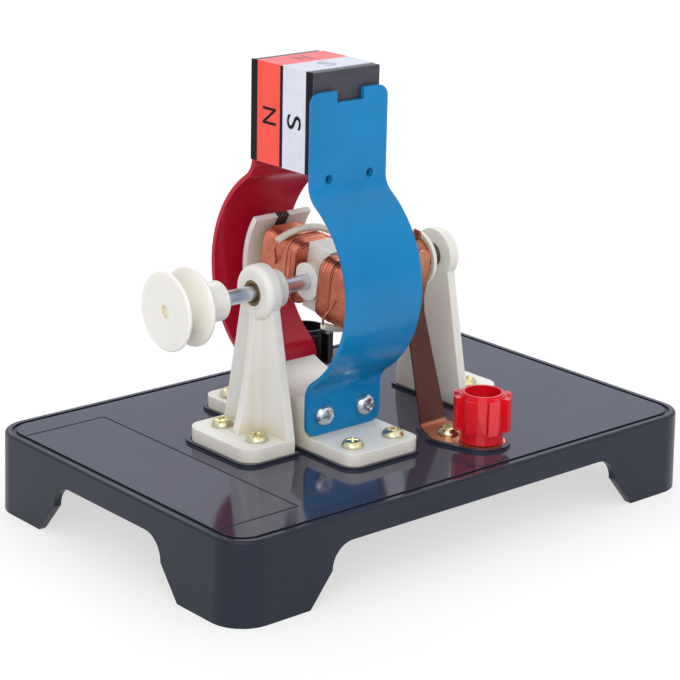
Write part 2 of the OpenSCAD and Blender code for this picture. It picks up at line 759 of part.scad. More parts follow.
// Side view of the pulley: x is the radius, y runs along the shaft
function pulley_outline() =
    let (r = pulley_d / 2, g = pulley_groove_d / 2, half = pulley_w / 2, lip = 1.1,
         depth = r - g, open = half - lip)
    concat([[0, 0]],
           arc([r - 0.5, 0.5], 0.5, -90, 0, 4),
           arc([r - 0.4, lip - 0.4], 0.4, 0, 60, 3),
           [for (i = [1:9]) let (u = -1 + 2 * i / 10) [g + depth * pow(abs(u), 1.7), half + open * u]],
           arc([r - 0.4, pulley_w - lip + 0.4], 0.4, -60, 0, 3),
           arc([r - 0.5, pulley_w - 0.5], 0.5, 0, 90, 4),
           [[pulley_hub_d / 2 + 0.6, pulley_w], [pulley_hub_d / 2, pulley_w + 0.6],
            [pulley_hub_d / 2, pulley_w + pulley_hub_len - 0.5],
            [pulley_hub_d / 2 - 0.5, pulley_w + pulley_hub_len], [0, pulley_w + pulley_hub_len]]);

module pulley() {
    bore_start = shaft_start - pulley_face;
    color([0.95, 0.94, 0.88]) on_shaft(pulley_face) difference() {
        rotate_extrude() polygon(pulley_outline());
        translate([0, 0, bore_start]) cylinder(h = pulley_w + pulley_hub_len, r = shaft_r);
        translate([0, 0, -1]) cylinder(h = 1 + pulley_dimple_d / 4, r = pulley_dimple_d / 2);
    }
}

// ---- armature ------------------------------------------------------------

// Curved pole face on the +X side: a stretch of ring
module pole_arc(r_in, t, half) {
    ring_stretch(r_in, t, -half, half);
}

// Seen along the shaft: the iron core with its bore, two arms and two tips
module core_outline() {
    difference() {
        union() {
            square([2 * (pole_in_r + 0.2), arm_core_w], center = true);
            circle(arm_core_w / 2 + 1.5);
            for (a = [0, 180]) rotate(a) pole_arc(pole_in_r, pole_flange_t, pole_half_angle);
        }
        circle(shaft_r);
    }
}

module armature_core() {
    color([0.25, 0.25, 0.27]) in_armature()
        translate([0, 0, -core_t / 2]) linear_extrude(core_t) core_outline();
}

// One moulded half: it covers the core's face, guards the coils and grips the shaft
module armature_frame() {
    flange_reach = pole_len / 2 - core_t / 2;
    difference() {
        union() {
            linear_extrude(arm_skin) square([2 * (pole_in_r + 0.2), 2 * arm_skin_y], center = true);
            linear_extrude(arm_skin) square([hub_block_w, hub_block_h], center = true);
            for (a = [0, 180]) rotate(a)
                linear_extrude(flange_reach) pole_arc(pole_in_r, pole_flange_t, pole_half_angle);
            intersection() {
                cylinder(h = arm_skin + hub_collar_len, r = hub_collar_d / 2);
                linear_extrude(arm_skin + hub_collar_len) square([hub_block_w, hub_block_h], center = true);
            }
        }
        translate([0, 0, -1]) cylinder(h = arm_skin + hub_collar_len + 2, r = shaft_r);
    }
    // side walls that meet those of the other half around the core
    wall_end = sqrt(pow(pole_in_r, 2) - pow(arm_skin_y, 2)) - 0.02;
    block_wall = arm_core_w / 2 + 1.7;
    for (s = [-1, 1], t = [-1, 1]) {
        translate([s > 0 ? hub_block_w / 2 : -wall_end, t > 0 ? arm_core_w / 2 : -arm_skin_y, -core_t / 2])
            cube([wall_end - hub_block_w / 2, arm_skin, core_t / 2 + eps]);
        translate([-hub_block_w / 2, t > 0 ? block_wall : -hub_block_h / 2, -core_t / 2])
            cube([hub_block_w, hub_block_h / 2 - block_wall, core_t / 2 + eps]);
    }
}

module armature_frame_front() {
    color([0.93, 0.91, 0.84]) in_armature() rotate([180, 0, 0])
        translate([0, 0, core_t / 2]) armature_frame();
}

module armature_frame_rear() {
    color([0.93, 0.91, 0.84]) in_armature() translate([0, 0, core_t / 2]) armature_frame();
}

// ---- coils ---------------------------------------------------------------

// Inner winding as a plain block with round corners and the arm's passage
module coil_core() {
    translate([coil_start, 0, 0]) rotate([0, 90, 0]) linear_extrude(coil_len) difference() {
        round_rect(2 * coil_half_x, 2 * coil_half_y, coil_corner_r);
        square([2 * arm_skin_x, 2 * arm_skin_y], center = true);
    }
}

// Path of the outer layer around the arm: 24 stations a loop, six at each corner.
// Each station is a point and the outward direction there.
turn_r = coil_corner_r + turn_offset;
flat_x = coil_half_x - coil_corner_r;
flat_y = coil_half_y - coil_corner_r;
STATIONS = 24;
function section_point(k) =
    let (q = floor(k / 6) % 4, a = q * 90 + (k % 6) * 18,
         cx = (q == 0 || q == 3) ? flat_x : -flat_x,
         cy = q < 2 ? flat_y : -flat_y)
    [cx + turn_r * cos(a), cy + turn_r * sin(a), a];
function station(i) =
    let (p = section_point(i % STATIONS))
    [[turn_first + turn_pitch * (i - 5.5) / STATIONS, p[1], -p[0]], [0, sin(p[2]), -cos(p[2])]];

// The wire leaves the hub's block square to its face and bends into the first loop
side_y = flat_y + turn_r;
turn_start = [for (p = concat([[hub_block_w / 2, 0]],
                              [for (a = [0:45:90]) [turn_first - turn_bend + turn_bend * sin(a),
                                                    turn_bend * (1 - cos(a))]]))
    [[p[0], side_y, p[1]], [0, 1, 0]]];

// After the last loop it bends away and meets the pole's flange square
side_z = flat_x + turn_r;
turn_end = [for (p = concat([for (a = [0:45:90]) [turn_last + turn_bend * (1 - cos(a)),
                                                  turn_bend * (1 - sin(a))]],
                            [[pole_in_r, 0]]))
    [[p[0], p[1], side_z], [0, 0, 1]]];

turn_path = concat(turn_start, [for (i = [6:coil_loops * STATIONS + 11]) station(i)], turn_end);
turn_points = [for (p = turn_path) p[0]];

// Least gap of the tube to itself: between stations at least half a loop apart
turn_gap = min([for (i = [0:len(turn_points) - 1]) for (j = [i + 12:min(i + 40, len(turn_points) - 1)])
    if (j < len(turn_points)) norm(turn_points[j] - turn_points[i])]) - wire_d;
echo(least_gap_of_a_coil_to_itself = turn_gap);

function unit(v) = v / norm(v);

// Six-sided tube along stations that each hold a point and an outward direction
module wound_tube(path, d) {
    n = len(path);
    sides = 6;
    points = [for (i = [0:n - 1])
        let (t = unit(path[min(i + 1, n - 1)][0] - path[max(i - 1, 0)][0]),
             u = unit(path[i][1] - t * (path[i][1] * t)), w = cross(t, u))
        for (s = [0:sides - 1])
            path[i][0] + d / 2 * (u * cos(360 * s / sides) + w * sin(360 * s / sides))];
    polyhedron(points = points, faces = concat(
        [[for (s = [0:sides - 1]) s]],
        [for (i = [0:n - 2]) for (s = [0:sides - 1])
            let (a = i * sides + s, b = i * sides + (s + 1) % sides)
            each [[a, a + sides, b + sides], [a, b + sides, b]]],
        [[for (s = [sides - 1:-1:0]) (n - 1) * sides + s]]));
}

module coil_1_core() {
    color([0.72, 0.38, 0.22]) in_armature() coil_core();
}

module coil_2_core() {
    color([0.72, 0.38, 0.22]) in_armature() rotate(180) coil_core();
}

module coil_1_turns() {
    color([0.80, 0.45, 0.27]) in_armature() wound_tube(turn_path, wire_d);
}

module coil_2_turns() {
    color([0.80, 0.45, 0.27]) in_armature() rotate(180) wound_tube(turn_path, wire_d);
}

// Arched sleeves that carry the leads over the coils, one on each side
sleeve_place = 10.7;                      // along the arm, from the shaft
sleeve_half = 9;                          // half the length between a sleeve's ends
sleeve_rise = 2.2;
sleeve_gap = 0.45;                        // over the outer turns, at the top of the arch
sleeve_arch_r = (pow(sleeve_half, 2) + pow(sleeve_rise, 2)) / (2 * sleeve_rise);
sleeve_sweep = asin(sleeve_half / sleeve_arch_r);

module lead_sleeves() {
    top = coil_half_y + layer_gap + wire_d + sleeve_d / 2 + sleeve_gap;
    color([0.92, 0.90, 0.82]) in_armature() for (a = [0, 180])
        rotate(a) translate([sleeve_place, top - sleeve_arch_r, 0])
            rotate([0, -90, 0]) rotate(90 - sleeve_sweep)
                rotate_extrude(angle = 2 * sleeve_sweep, $fn = 96)
                    translate([sleeve_arch_r, 0]) difference() {
                        circle(sleeve_d / 2, $fn = 24);
                        circle(sleeve_d / 2 - 0.35, $fn = 24);
                    }
}

// ---- commutator and brushes ----------------------------------------------

module commutator_drum() {
    color([0.93, 0.91, 0.84]) on_shaft(comm_start) difference() {
        union() {
            cylinder(h = comm_len, r = drum_r);
            translate([0, 0, comm_len]) cylinder(h = comm_disc_t, r = comm_disc_d / 2);
        }
        translate([0, 0, -1]) cylinder(h = comm_len + comm_disc_t + 2, r = shaft_r);
    }
}

// Two half shells of copper, each with a lug that stands up at the end disc
module commutator_segments() {
    lug_w = 2.4;
    lug_t = 0.6;
    length = comm_len - 1;
    color([0.66, 0.36, 0.24]) on_shaft(comm_start + 1) for (a = [0, 180])
        rotate(a + 90 + arm_angle + 90) {
            intersection() {
                difference() {
                    cylinder(h = length, r = comm_r);
                    translate([0, 0, -1]) cylinder(h = length + 2, r = drum_r);
                }
                translate([segment_slot / 2, -comm_r - 1, -1]) cube([comm_r + 1, 2 * comm_r + 2, length + 2]);
            }
            translate([comm_r - 0.2, -lug_w / 2, length - lug_t])
                cube([comm_disc_d / 2 + 0.7 - comm_r, lug_w, lug_t]);
        }
}

// Side view of a brush blade: x is the distance from the shaft's plane, y the height
brush_contact = brush_plane + brush_t / 2;
brush_route = [[brush_foot_y + 0.7, base_h + brush_foot_t / 2],
               [brush_contact + 2.5, axis_z - 20], [brush_contact - 0.4, axis_z - 13],
               [brush_contact - 0.9, axis_z - 9.5], [brush_contact - 0.8, axis_z - 7.5],
               [brush_contact - 0.1, axis_z - 4], [brush_contact, axis_z - 1],
               [brush_contact, axis_z + 1], [brush_contact + 0.4, axis_z + 6]];

// Face view of a blade: it narrows and leans towards the commutator, with a round tip
module brush_face() {
    tip_z = axis_z + 4.4;
    bottom = base_h;
    polygon(concat(
        [[brush_x - brush_foot_w / 2, bottom], [brush_x + brush_foot_w / 2, bottom]],
        arc([brush_tip_x, tip_z - brush_tip_w / 2], brush_tip_w / 2, 0, 180, 12)));
}

// A brush on the +Y side
module brush() {
    intersection() {
        rotate([90, 0, 90]) linear_extrude(40) strip(brush_route, brush_t);
        translate([0, 60, 0]) rotate([90, 0, 0]) linear_extrude(60) brush_face();
    }
    difference() {
        translate([0, 0, base_h]) linear_extrude(brush_foot_t) brush_foot_outline();
        translate([term_x, term_y, base_h - 1]) cylinder(h = 3, r = stud_r + hole_gap);
        translate([brush_screw[0], brush_screw[1], base_h - 1]) cylinder(h = 3, r = screw_d / 2 + hole_gap);
    }
}

module front_brush() {
    color([0.72, 0.42, 0.28]) mirror([0, 1, 0]) brush();
}

module back_brush() {
    color([0.72, 0.42, 0.28]) brush();
}

module brush_screws() {
    color([0.80, 0.68, 0.38]) for (h = brush_holes())
        translate([h[0], h[1], base_h + brush_foot_t]) screw(brush_foot_t + screw_grip);
}

// ---- terminals -----------------------------------------------------------

// A post stands on the brush's foot; its socket opens upwards
module terminal_posts() {
    flange_z = base_h + brush_foot_t;
    stud_z = deck_z - washer_t - nut_t - 0.5;
    color([0.80, 0.66, 0.36]) for (h = terminal_spots()) translate([h[0], h[1], 0]) difference() {
        union() {
            translate([0, 0, stud_z]) cylinder(h = flange_z - stud_z + eps, r = stud_r);
            translate([0, 0, flange_z]) cylinder(h = post_flange_t, r = post_flange_r);
            translate([0, 0, flange_z]) cylinder(h = post_top - flange_z, r = post_d / 2);
        }
        translate([0, 0, post_top - socket_len]) cylinder(h = socket_len + 1, r = socket_d / 2);
    }
}

module terminal_washers() {
    color([0.78, 0.79, 0.80]) for (h = terminal_spots())
        translate([h[0], h[1], deck_z - washer_t]) difference() {
            cylinder(h = washer_t, r = washer_r);
            translate([0, 0, -1]) cylinder(h = washer_t + 2, r = stud_r + hole_gap);
        }
}

module terminal_nuts() {
    color([0.80, 0.66, 0.36]) for (h = terminal_spots())
        translate([h[0], h[1], deck_z - washer_t - nut_t]) difference() {
            cylinder(h = nut_t, r = nut_r, $fn = 6);
            translate([0, 0, -1]) cylinder(h = nut_t + 2, r = stud_r);
        }
}

// A screw cap: plain lower body, grips around the upper part, open top
module terminal_cap() {
    body_r = cap_d / 2;
    upper_r = body_r + 0.4;
    grip_z = 3.4;
    grip_len = cap_h - grip_z - 0.9;
    grip_w = 2.4;
    difference() {
        union() {
            cylinder(h = grip_z + eps, r = body_r);
            translate([0, 0, grip_z]) cylinder(h = cap_h - grip_z, r = upper_r);
            for (i = [0:cap_grips - 1])
                rotate(360 * (i + 0.5) / cap_grips) translate([upper_r - 0.5, -grip_w / 2, grip_z])
                    cube([cap_grip_d / 2 - upper_r + 0.5, grip_w, grip_len]);
        }
        translate([0, 0, -1]) cylinder(h = cap_h + 2, r = post_d / 2 + 0.08);
        translate([0, 0, -1]) cylinder(h = 1 + post_flange_t, r = post_flange_r + clear_gap);
        translate([0, 0, post_top - cap_z - 1]) cylinder(h = cap_h, r = body_r - 1);
    }
}

module red_terminal_cap() {
    color([0.90, 0.06, 0.09]) translate([term_x, -term_y, cap_z]) terminal_cap();
}

module black_terminal_cap() {
    color([0.05, 0.05, 0.055]) translate([term_x, term_y, cap_z]) terminal_cap();
}

// ---- what is drawn -------------------------------------------------------

base();
pulley_pedestal();
commutator_pedestal();
pulley_end_bush();
commutator_end_bush();
pedestal_screws();
pole_block();
pole_block_screws();
blue_pole_shoe();
red_pole_shoe();
pole_shoe_screws();
north_magnet();
south_magnet();
north_label();
south_label();
rotor_shaft();
shaft_collar();
pulley();
armature_core();
armature_frame_front();
armature_frame_rear();
coil_1_core();
coil_1_turns();
coil_2_core();
coil_2_turns();
lead_sleeves();
commutator_drum();
commutator_segments();
front_brush();
back_brush();
brush_screws();
terminal_posts();
terminal_washers();
terminal_nuts();
red_terminal_cap();
black_terminal_cap();
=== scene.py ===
import json
import math
import random

import bmesh
import bpy
from mathutils import Matrix, Vector


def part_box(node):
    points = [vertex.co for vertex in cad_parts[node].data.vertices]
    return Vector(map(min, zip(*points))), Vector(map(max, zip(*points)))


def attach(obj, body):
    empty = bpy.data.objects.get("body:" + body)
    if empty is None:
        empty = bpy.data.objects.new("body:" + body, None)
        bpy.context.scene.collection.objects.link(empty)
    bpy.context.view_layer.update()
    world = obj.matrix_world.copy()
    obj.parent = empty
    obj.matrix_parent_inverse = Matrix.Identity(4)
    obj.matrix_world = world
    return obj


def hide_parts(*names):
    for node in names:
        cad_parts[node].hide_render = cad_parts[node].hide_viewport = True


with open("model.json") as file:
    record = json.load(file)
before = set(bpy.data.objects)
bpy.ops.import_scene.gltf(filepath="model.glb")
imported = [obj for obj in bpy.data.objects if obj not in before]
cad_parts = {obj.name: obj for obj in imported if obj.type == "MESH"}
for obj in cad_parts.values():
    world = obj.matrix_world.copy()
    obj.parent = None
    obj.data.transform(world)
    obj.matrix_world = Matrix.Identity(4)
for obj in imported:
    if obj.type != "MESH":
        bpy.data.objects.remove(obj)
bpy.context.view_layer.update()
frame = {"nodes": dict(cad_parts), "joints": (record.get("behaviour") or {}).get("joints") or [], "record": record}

MM = 0.001
RECORD = frame["record"]
NODES = frame["nodes"]
BODY = {n: body for body, ns in RECORD["behaviour"]["bodies"].items() for n in ns}
JOINT = {j["name"]: j for j in frame["joints"]}


def centre(node):
    low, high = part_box(node)
    return (low + high) / 2


# ---------------------------------------------------------------- places
AXIS_Z = JOINT["rotor_spin"]["pos_m"][2]
ARM_X = centre("armature_core").x
ARM_ANGLE = math.radians(8)
ARM_DIR = Vector((0, math.cos(ARM_ANGLE), math.sin(ARM_ANGLE)))
ARM_UP = Vector((0, -math.sin(ARM_ANGLE), math.cos(ARM_ANGLE)))
BASE_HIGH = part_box("base")[1]
DECK_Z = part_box("pole_block")[0].z
POLE_X = centre("pole_block").x


def arm_point(along, up, fore):
    """A point in the armature's own directions, in millimetres from its centre."""
    offset = ARM_DIR * along + ARM_UP * up + Vector((fore, 0, 0))
    return Vector((ARM_X, 0, AXIS_Z)) + offset * MM


def link_object(name, data):
    """A new object in the scene, which shows some data."""
    o = bpy.data.objects.new(name, data)
    bpy.context.scene.collection.objects.link(o)
    return o


# ---------------------------------------------------------------- camera
# Fitted to the photograph, which is 680 pixels wide.
CAM_TARGET = Vector((1.16, 5.10, 42.73)) * MM
CAM_DISTANCE = 608.08 * MM
CAM_AZIMUTH = math.radians(-41.07)
CAM_ELEVATION = math.radians(17.54)
CAM_ROLL = math.radians(1.22)
CAM_FOCAL_PX = 2251.6
CAM_CLIP = (0.02, 50)
PHOTO_PX = 680
SENSOR_MM = 36


def make_camera():
    az, el = CAM_AZIMUTH, CAM_ELEVATION
    back = Vector((math.sin(az) * math.cos(el), -math.cos(az) * math.cos(el), math.sin(el)))
    right = Vector((math.cos(az), math.sin(az), 0))
    up = back.cross(right)
    x_axis = right * math.cos(CAM_ROLL) + up * math.sin(CAM_ROLL)
    y_axis = up * math.cos(CAM_ROLL) - right * math.sin(CAM_ROLL)
    data = bpy.data.cameras.new("camera")
    data.sensor_width = SENSOR_MM
    data.sensor_fit = "HORIZONTAL"
    data.lens = CAM_FOCAL_PX / PHOTO_PX * SENSOR_MM
    data.clip_start, data.clip_end = CAM_CLIP
    cam = link_object("camera", data)
    matrix = Matrix((x_axis, y_axis, back)).transposed().to_4x4()
    matrix.translation = CAM_TARGET + back * CAM_DISTANCE
    cam.matrix_world = matrix
    bpy.context.scene.camera = cam


# ---------------------------------------------------------------- node trees
NOISE_RANGE = (0.3, 0.7)  # most of a noise's values lie in this range
# the sockets that a Mix node uses for colours
MIX_FACTOR, MIX_A, MIX_B, MIX_RESULT = 0, 6, 7, 2


class Graph:
    """The node tree of a material or a world, with short calls for what they share."""

    def __init__(self, owner, shader="Principled BSDF", coords="Object"):
        owner.use_nodes = True
        self.owner = owner
        self.tree = owner.node_tree
        self.shader = self.tree.nodes[shader]
        self.coords = self.node("ShaderNodeTexCoord").outputs[coords]

    def node(self, kind, **values):
        """A new node. A value goes to the input of that name, or else to a setting."""
        made = self.tree.nodes.new(kind)
        for key, value in values.items():
            if key in made.inputs:
                made.inputs[key].default_value = value
            else:
                setattr(made, key, value)
        return made

    def link(self, output, socket):
        self.tree.links.new(output, socket)

    def set(self, **values):
        """Sets the shader's own sockets. An underscore stands for a space."""
        for key, value in values.items():
            self.shader.inputs[key.replace("_", " ")].default_value = value

    def feed(self, name, output):
        self.link(output, self.shader.inputs[name])

    def mapped(self, scale=(1, 1, 1), rotation=(0, 0, 0), location=(0, 0, 0)):
        m = self.node("ShaderNodeMapping", Scale=scale, Rotation=rotation, Location=location)
        self.link(self.coords, m.inputs["Vector"])
        return m.outputs["Vector"]

    def split(self):
        s = self.node("ShaderNodeSeparateXYZ")
        self.link(self.coords, s.inputs["Vector"])
        return s.outputs

    def noise(self, scale, detail=3.0, rough=0.55, vector=None):
        n = self.node("ShaderNodeTexNoise", Scale=scale, Detail=detail, Roughness=rough)
        self.link(vector or self.coords, n.inputs["Vector"])
        return n.outputs["Fac"]

    def ramp(self, value, stops):
        """A colour that follows a value through stops of (value, colour)."""
        r = self.node("ShaderNodeValToRGB")
        while len(r.color_ramp.elements) < len(stops):
            r.color_ramp.elements.new(0.5)
        for element, (at, colour) in zip(r.color_ramp.elements, stops):
            element.position = at
            element.color = (*colour, 1)
        self.link(value, r.inputs["Fac"])
        return r.outputs["Color"]

    def tones(self, value, first, second, between=NOISE_RANGE):
        """A colour that runs from one to another while a value crosses a range."""
        return self.ramp(value, list(zip(between, (first, second))))

    def remap(self, value, first, second, between=NOISE_RANGE):
        """A number that runs from one to another while a value crosses a range."""
        m = self.node("ShaderNodeMapRange")
        m.inputs["From Min"].default_value, m.inputs["From Max"].default_value = between
        m.inputs["To Min"].default_value = first
        m.inputs["To Max"].default_value = second
        self.link(value, m.inputs["Value"])
        return m.outputs["Result"]

    def mix(self, factor, a, b, blend="MIX"):
        """Colour b over colour a. Each is a colour or the output of a node."""
        m = self.node("ShaderNodeMix", data_type="RGBA", blend_type=blend)
        for socket, value in ((m.inputs[MIX_A], a), (m.inputs[MIX_B], b)):
            if isinstance(value, tuple):
                socket.default_value = (*value, 1)
            else:
                self.link(value, socket)
        self.link(factor, m.inputs[MIX_FACTOR])
        return m.outputs[MIX_RESULT]

    def bump(self, height, strength, depth_mm=0.1):
        b = self.node("ShaderNodeBump", Strength=strength, Distance=depth_mm * MM)
        self.link(height, b.inputs["Height"])
        self.feed("Normal", b.outputs["Normal"])


def material_graph(name):
    return Graph(bpy.data.materials.new(name))


# ---------------------------------------------------------------- materials
# Colours are linear red, green and blue. A noise's scale is in waves per metre.
ROUGH_SPREAD = 0.05
PATCH_RANGE = (0.35, 0.65)
# Reach of the ambient occlusion that paints shade into the ivory's hollows
PAINTED_SHADE_REACH = 5 * MM
# A painted glow round the pulley's hub, which stands for light through the plastic
HUB_PAINTED_GLOW_R = 1.7 * MM
HUB_PAINTED_GLOW_FADE = (0.8, 1.3)  # where the glow starts to fade and where it ends, as shares of that
BRUSH_FOOT = (DECK_Z + 1.0 * MM, DECK_Z + 1.7 * MM)
BRUSH_RUBBED = (AXIS_Z - 12 * MM, AXIS_Z + 2 * MM)


def shade(colour, factor):
    return tuple(min(1.0, c * factor) for c in colour)


def surface(name, colour, rough, variation=0.06, patch=70, grain=1400, bump=0.08, **shader):
    """A material with slow colour patches, fine grain in the gloss, and a fine bump."""
    g = material_graph(name)
    fine = g.noise(grain, detail=4)
    dark, light = shade(colour, 1 - variation), shade(colour, 1 + variation)
    g.feed("Base Color", g.tones(g.noise(patch), dark, light, PATCH_RANGE))
    g.feed("Roughness", g.remap(fine, rough - ROUGH_SPREAD, rough + ROUGH_SPREAD))
    g.bump(fine, bump)
    g.set(**shader)
    return g


def plate_black():
    """Glossy top plate: nearly black, with faint smears and fine straight scratches."""
    g = material_graph("plate_black")
    smear = g.noise(28, detail=5, rough=0.6)
    scratch = g.noise(900, detail=2, vector=g.mapped(scale=(1, 0.02, 1), rotation=(0, 0, 0.5)))
    g.feed("Base Color", g.tones(smear, (0.026, 0.0275, 0.048), (0.035, 0.037, 0.062)))
    g.feed("Roughness", g.remap(smear, 0.045, 0.13))
    g.bump(scratch, 0.012, 0.05)
    g.set(IOR=1.62, Specular_Tint=(0.90, 0.92, 1.0, 1))
    return g


def wall_black():
    """Satin walls of the base, with a very fine leather grain."""
    g = material_graph("wall_black")
    slow = g.noise(35, detail=4)
    leather = g.noise(2600, detail=2)
    g.feed("Base Color", g.tones(slow, (0.012, 0.0135, 0.024), (0.017, 0.0195, 0.033)))
    g.feed("Roughness", g.remap(leather, 0.27, 0.40))
    g.bump(leather, 0.12, 0.04)
    g.set(Specular_IOR_Level=0.3, Specular_Tint=(0.86, 0.90, 1.0, 1))
    return g


def ivory(name, painted_glow_r=0.0):
    """Ivory plastic: light goes a little way in, and hollows get a painted shade in a darker, warmer tone.

    With a glow radius, a painted glow, which stands for light through the plastic, makes it warmer within about
    that distance of the shaft's axis.
    """
    g = material_graph(name)
    flow = g.noise(60, detail=4, vector=g.mapped(scale=(1, 1, 0.35)))
    fine = g.noise(1900, detail=3)
    open_tone = g.tones(flow, (0.75, 0.735, 0.685), (0.80, 0.79, 0.745))
    # Painted shade: where ambient occlusion finds a hollow, the tone turns darker and warmer
    shade_occlusion = g.node("ShaderNodeAmbientOcclusion", Distance=PAINTED_SHADE_REACH, samples=8)
    painted_shade_share = g.remap(shade_occlusion.outputs["AO"], 1.0, 0.0, (0.25, 0.95))
    tone = g.mix(painted_shade_share, open_tone, (0.66, 0.59, 0.46))
    # Painted glow: warmer near the shaft's axis, for light through the plastic
    if painted_glow_r:
        away = g.node("ShaderNodeVectorMath", operation="LENGTH")
        g.link(g.mapped(scale=(0, 1, 1), location=(0, 0, -AXIS_Z)), away.inputs[0])
        glow = g.remap(away.outputs["Value"], 0.7, 0.0, [painted_glow_r * share for share in HUB_PAINTED_GLOW_FADE])
        tone = g.mix(glow, tone, (0.78, 0.71, 0.48))
    g.feed("Base Color", tone)
    g.feed("Roughness", g.remap(fine, 0.30, 0.42))
    g.bump(fine, 0.06, 0.05)
    g.set(Subsurface_Weight=0.5, Subsurface_Radius=(1.0, 0.76, 0.48), Subsurface_Scale=2.2 * MM,
          Specular_IOR_Level=0.4)
    return g


def enamel(colour_name, dark, light):
    """Enamel of the pole shoes: an even gloss with slight orange peel."""
    g = material_graph(f"enamel_{colour_name}")
    slow = g.noise(45, detail=4)
    peel = g.noise(420, detail=2)
    g.feed("Base Color", g.tones(slow, dark, light))
    g.feed("Roughness", g.remap(peel, 0.20, 0.29))
    g.bump(peel, 0.03, 0.06)
    g.set(Coat_Weight=0.2, Coat_Roughness=0.10, Specular_IOR_Level=0.15)
    return g


def shaded_enamel(colour_name, colour):
    """The same enamel at the bottom of a dimple, where little light comes."""
    return surface(f"shaded_enamel_{colour_name}", colour, 0.4, patch=160, Specular_IOR_Level=0.2)


def ferrite():
    """Magnets: dark, matt and finely pitted, with faint grinding marks."""
    g = material_graph("ferrite")
    pits = g.noise(3200, detail=5, rough=0.7)
    ground = g.noise(700, detail=2, vector=g.mapped(scale=(0.05, 1, 1)))
    g.feed("Base Color", g.tones(pits, (0.024, 0.024, 0.034), (0.050, 0.050, 0.066), (0.35, 0.62)))
    g.feed("Roughness", g.remap(ground, 0.42, 0.62))
    g.bump(pits, 0.35, 0.05)
    return g


def label_print(name, colour):
    """Printed label, and the worn print of the letters on its top."""
    return surface(name, colour, 0.32, variation=0.03, patch=160, grain=2500, bump=0.05,
                   Coat_Weight=0.25, Coat_Roughness=0.15)


def black_ink():
    return surface("black_ink", (0.008, 0.007, 0.010), 0.6, patch=160, grain=2500, bump=0.05,
                   Specular_IOR_Level=0.15)


def shaft_steel():
    """Steel with fine rings from turning."""
    g = material_graph("shaft_steel")
    rings = g.noise(2600, detail=3, vector=g.mapped(scale=(1, 0.03, 0.03)))
    slow = g.noise(120)
    g.feed("Base Color", g.tones(slow, (0.64, 0.68, 0.75), (0.74, 0.78, 0.84)))
    g.feed("Roughness", g.remap(rings, 0.30, 0.42))
    g.bump(rings, 0.10, 0.03)
    g.set(Metallic=1.0)
    return g


def lamination_iron():
    """Iron sheets stacked along the shaft, in light and dark bands."""
    g = material_graph("lamination_iron")
    sheets = g.node("ShaderNodeTexWave", Scale=340.0, Distortion=0.6, Detail=1.0,
                    bands_direction="X")
    g.link(g.coords, sheets.inputs["Vector"])
    rust = g.noise(500, detail=4)
    dull = g.tones(rust, (0.012, 0.011, 0.013), (0.030, 0.027, 0.030))
    bright_share = g.remap(sheets.outputs["Fac"], 0.0, 1.0, (0.45, 0.95))
    g.feed("Base Color", g.mix(bright_share, dull, (0.24, 0.225, 0.23)))
    g.feed("Roughness", g.remap(rust, 0.35, 0.55))
    g.bump(sheets.outputs["Fac"], 0.6, 0.12)
    g.set(Metallic=0.9)
    return g


def copper_wire():
    """Enamelled copper wire, a little lighter and darker from place to place."""
    g = material_graph("copper_wire")
    slow = g.noise(420, detail=3)
    fine = g.noise(3000, detail=2)
    g.feed("Base Color", g.ramp(slow, [(0.25, (0.58, 0.155, 0.085)),
                                       (0.55, (0.72, 0.235, 0.140)),
                                       (0.80, (0.82, 0.33, 0.22))]))
    g.feed("Roughness", g.remap(fine, 0.34, 0.46))
    g.bump(fine, 0.05, 0.02)
    g.set(Metallic=1.0, Coat_Weight=0.35, Coat_Roughness=0.12)
    return g


# Darker copper for thin turns that paint shade lines between the other turns
def shaded_wire():
    return surface("shaded_wire", (0.20, 0.045, 0.030), 0.4, variation=0.25, patch=420,
                   Metallic=0.8)


def brush_copper():
    """Rolled copper: bright at the foot and where it rubs, brown between."""
    g = material_graph("brush_copper")
    height = g.split()["Z"]
    above_foot = g.remap(height, 0.0, 1.0, BRUSH_FOOT)
    rolled = g.noise(2200, detail=2, vector=g.mapped(scale=(1, 1, 0.03)))
    cloud = g.noise(90, detail=3)
    bright = g.tones(cloud, (0.60, 0.23, 0.12), (0.69, 0.30, 0.17))
    brown = g.tones(cloud, (0.105, 0.040, 0.031), (0.130, 0.053, 0.041))
    rubbed = g.remap(height, 0.0, 0.8, BRUSH_RUBBED)
    g.feed("Base Color", g.mix(above_foot, bright, g.mix(rubbed, brown, bright)))
    g.feed("Roughness", g.remap(rolled, 0.34, 0.44))
    g.bump(rolled, 0.04, 0.02)
    g.set(Metallic=0.9)
    return g


def segment_copper():
    return surface("segment_copper", (0.42, 0.16, 0.10), 0.3, variation=0.18, patch=300,
                   Metallic=1.0)


def yellow_zinc():
    """Zinc plating whose yellow passivation drifts between gold, green and pink."""
    g = material_graph("yellow_zinc")
    drift = g.noise(420, detail=2)
    fine = g.noise(3000, detail=3)
    g.feed("Base Color", g.ramp(drift, [(0.30, (0.60, 0.47, 0.22)),
                                        (0.48, (0.78, 0.66, 0.38)),
                                        (0.58, (0.66, 0.68, 0.45)),
                                        (0.72, (0.76, 0.55, 0.38))]))
    g.feed("Roughness", g.remap(fine, 0.18, 0.30))
    g.bump(fine, 0.08, 0.02)
    g.set(Metallic=1.0)
    return g


def silver_zinc():
    return surface("silver_zinc", (0.66, 0.68, 0.70), 0.22, variation=0.08, patch=500,
                   grain=3000, Metallic=1.0)


def turned_brass():
    return surface("turned_brass", (0.70, 0.50, 0.20), 0.26, variation=0.1, patch=260,
                   grain=2500, Metallic=1.0)


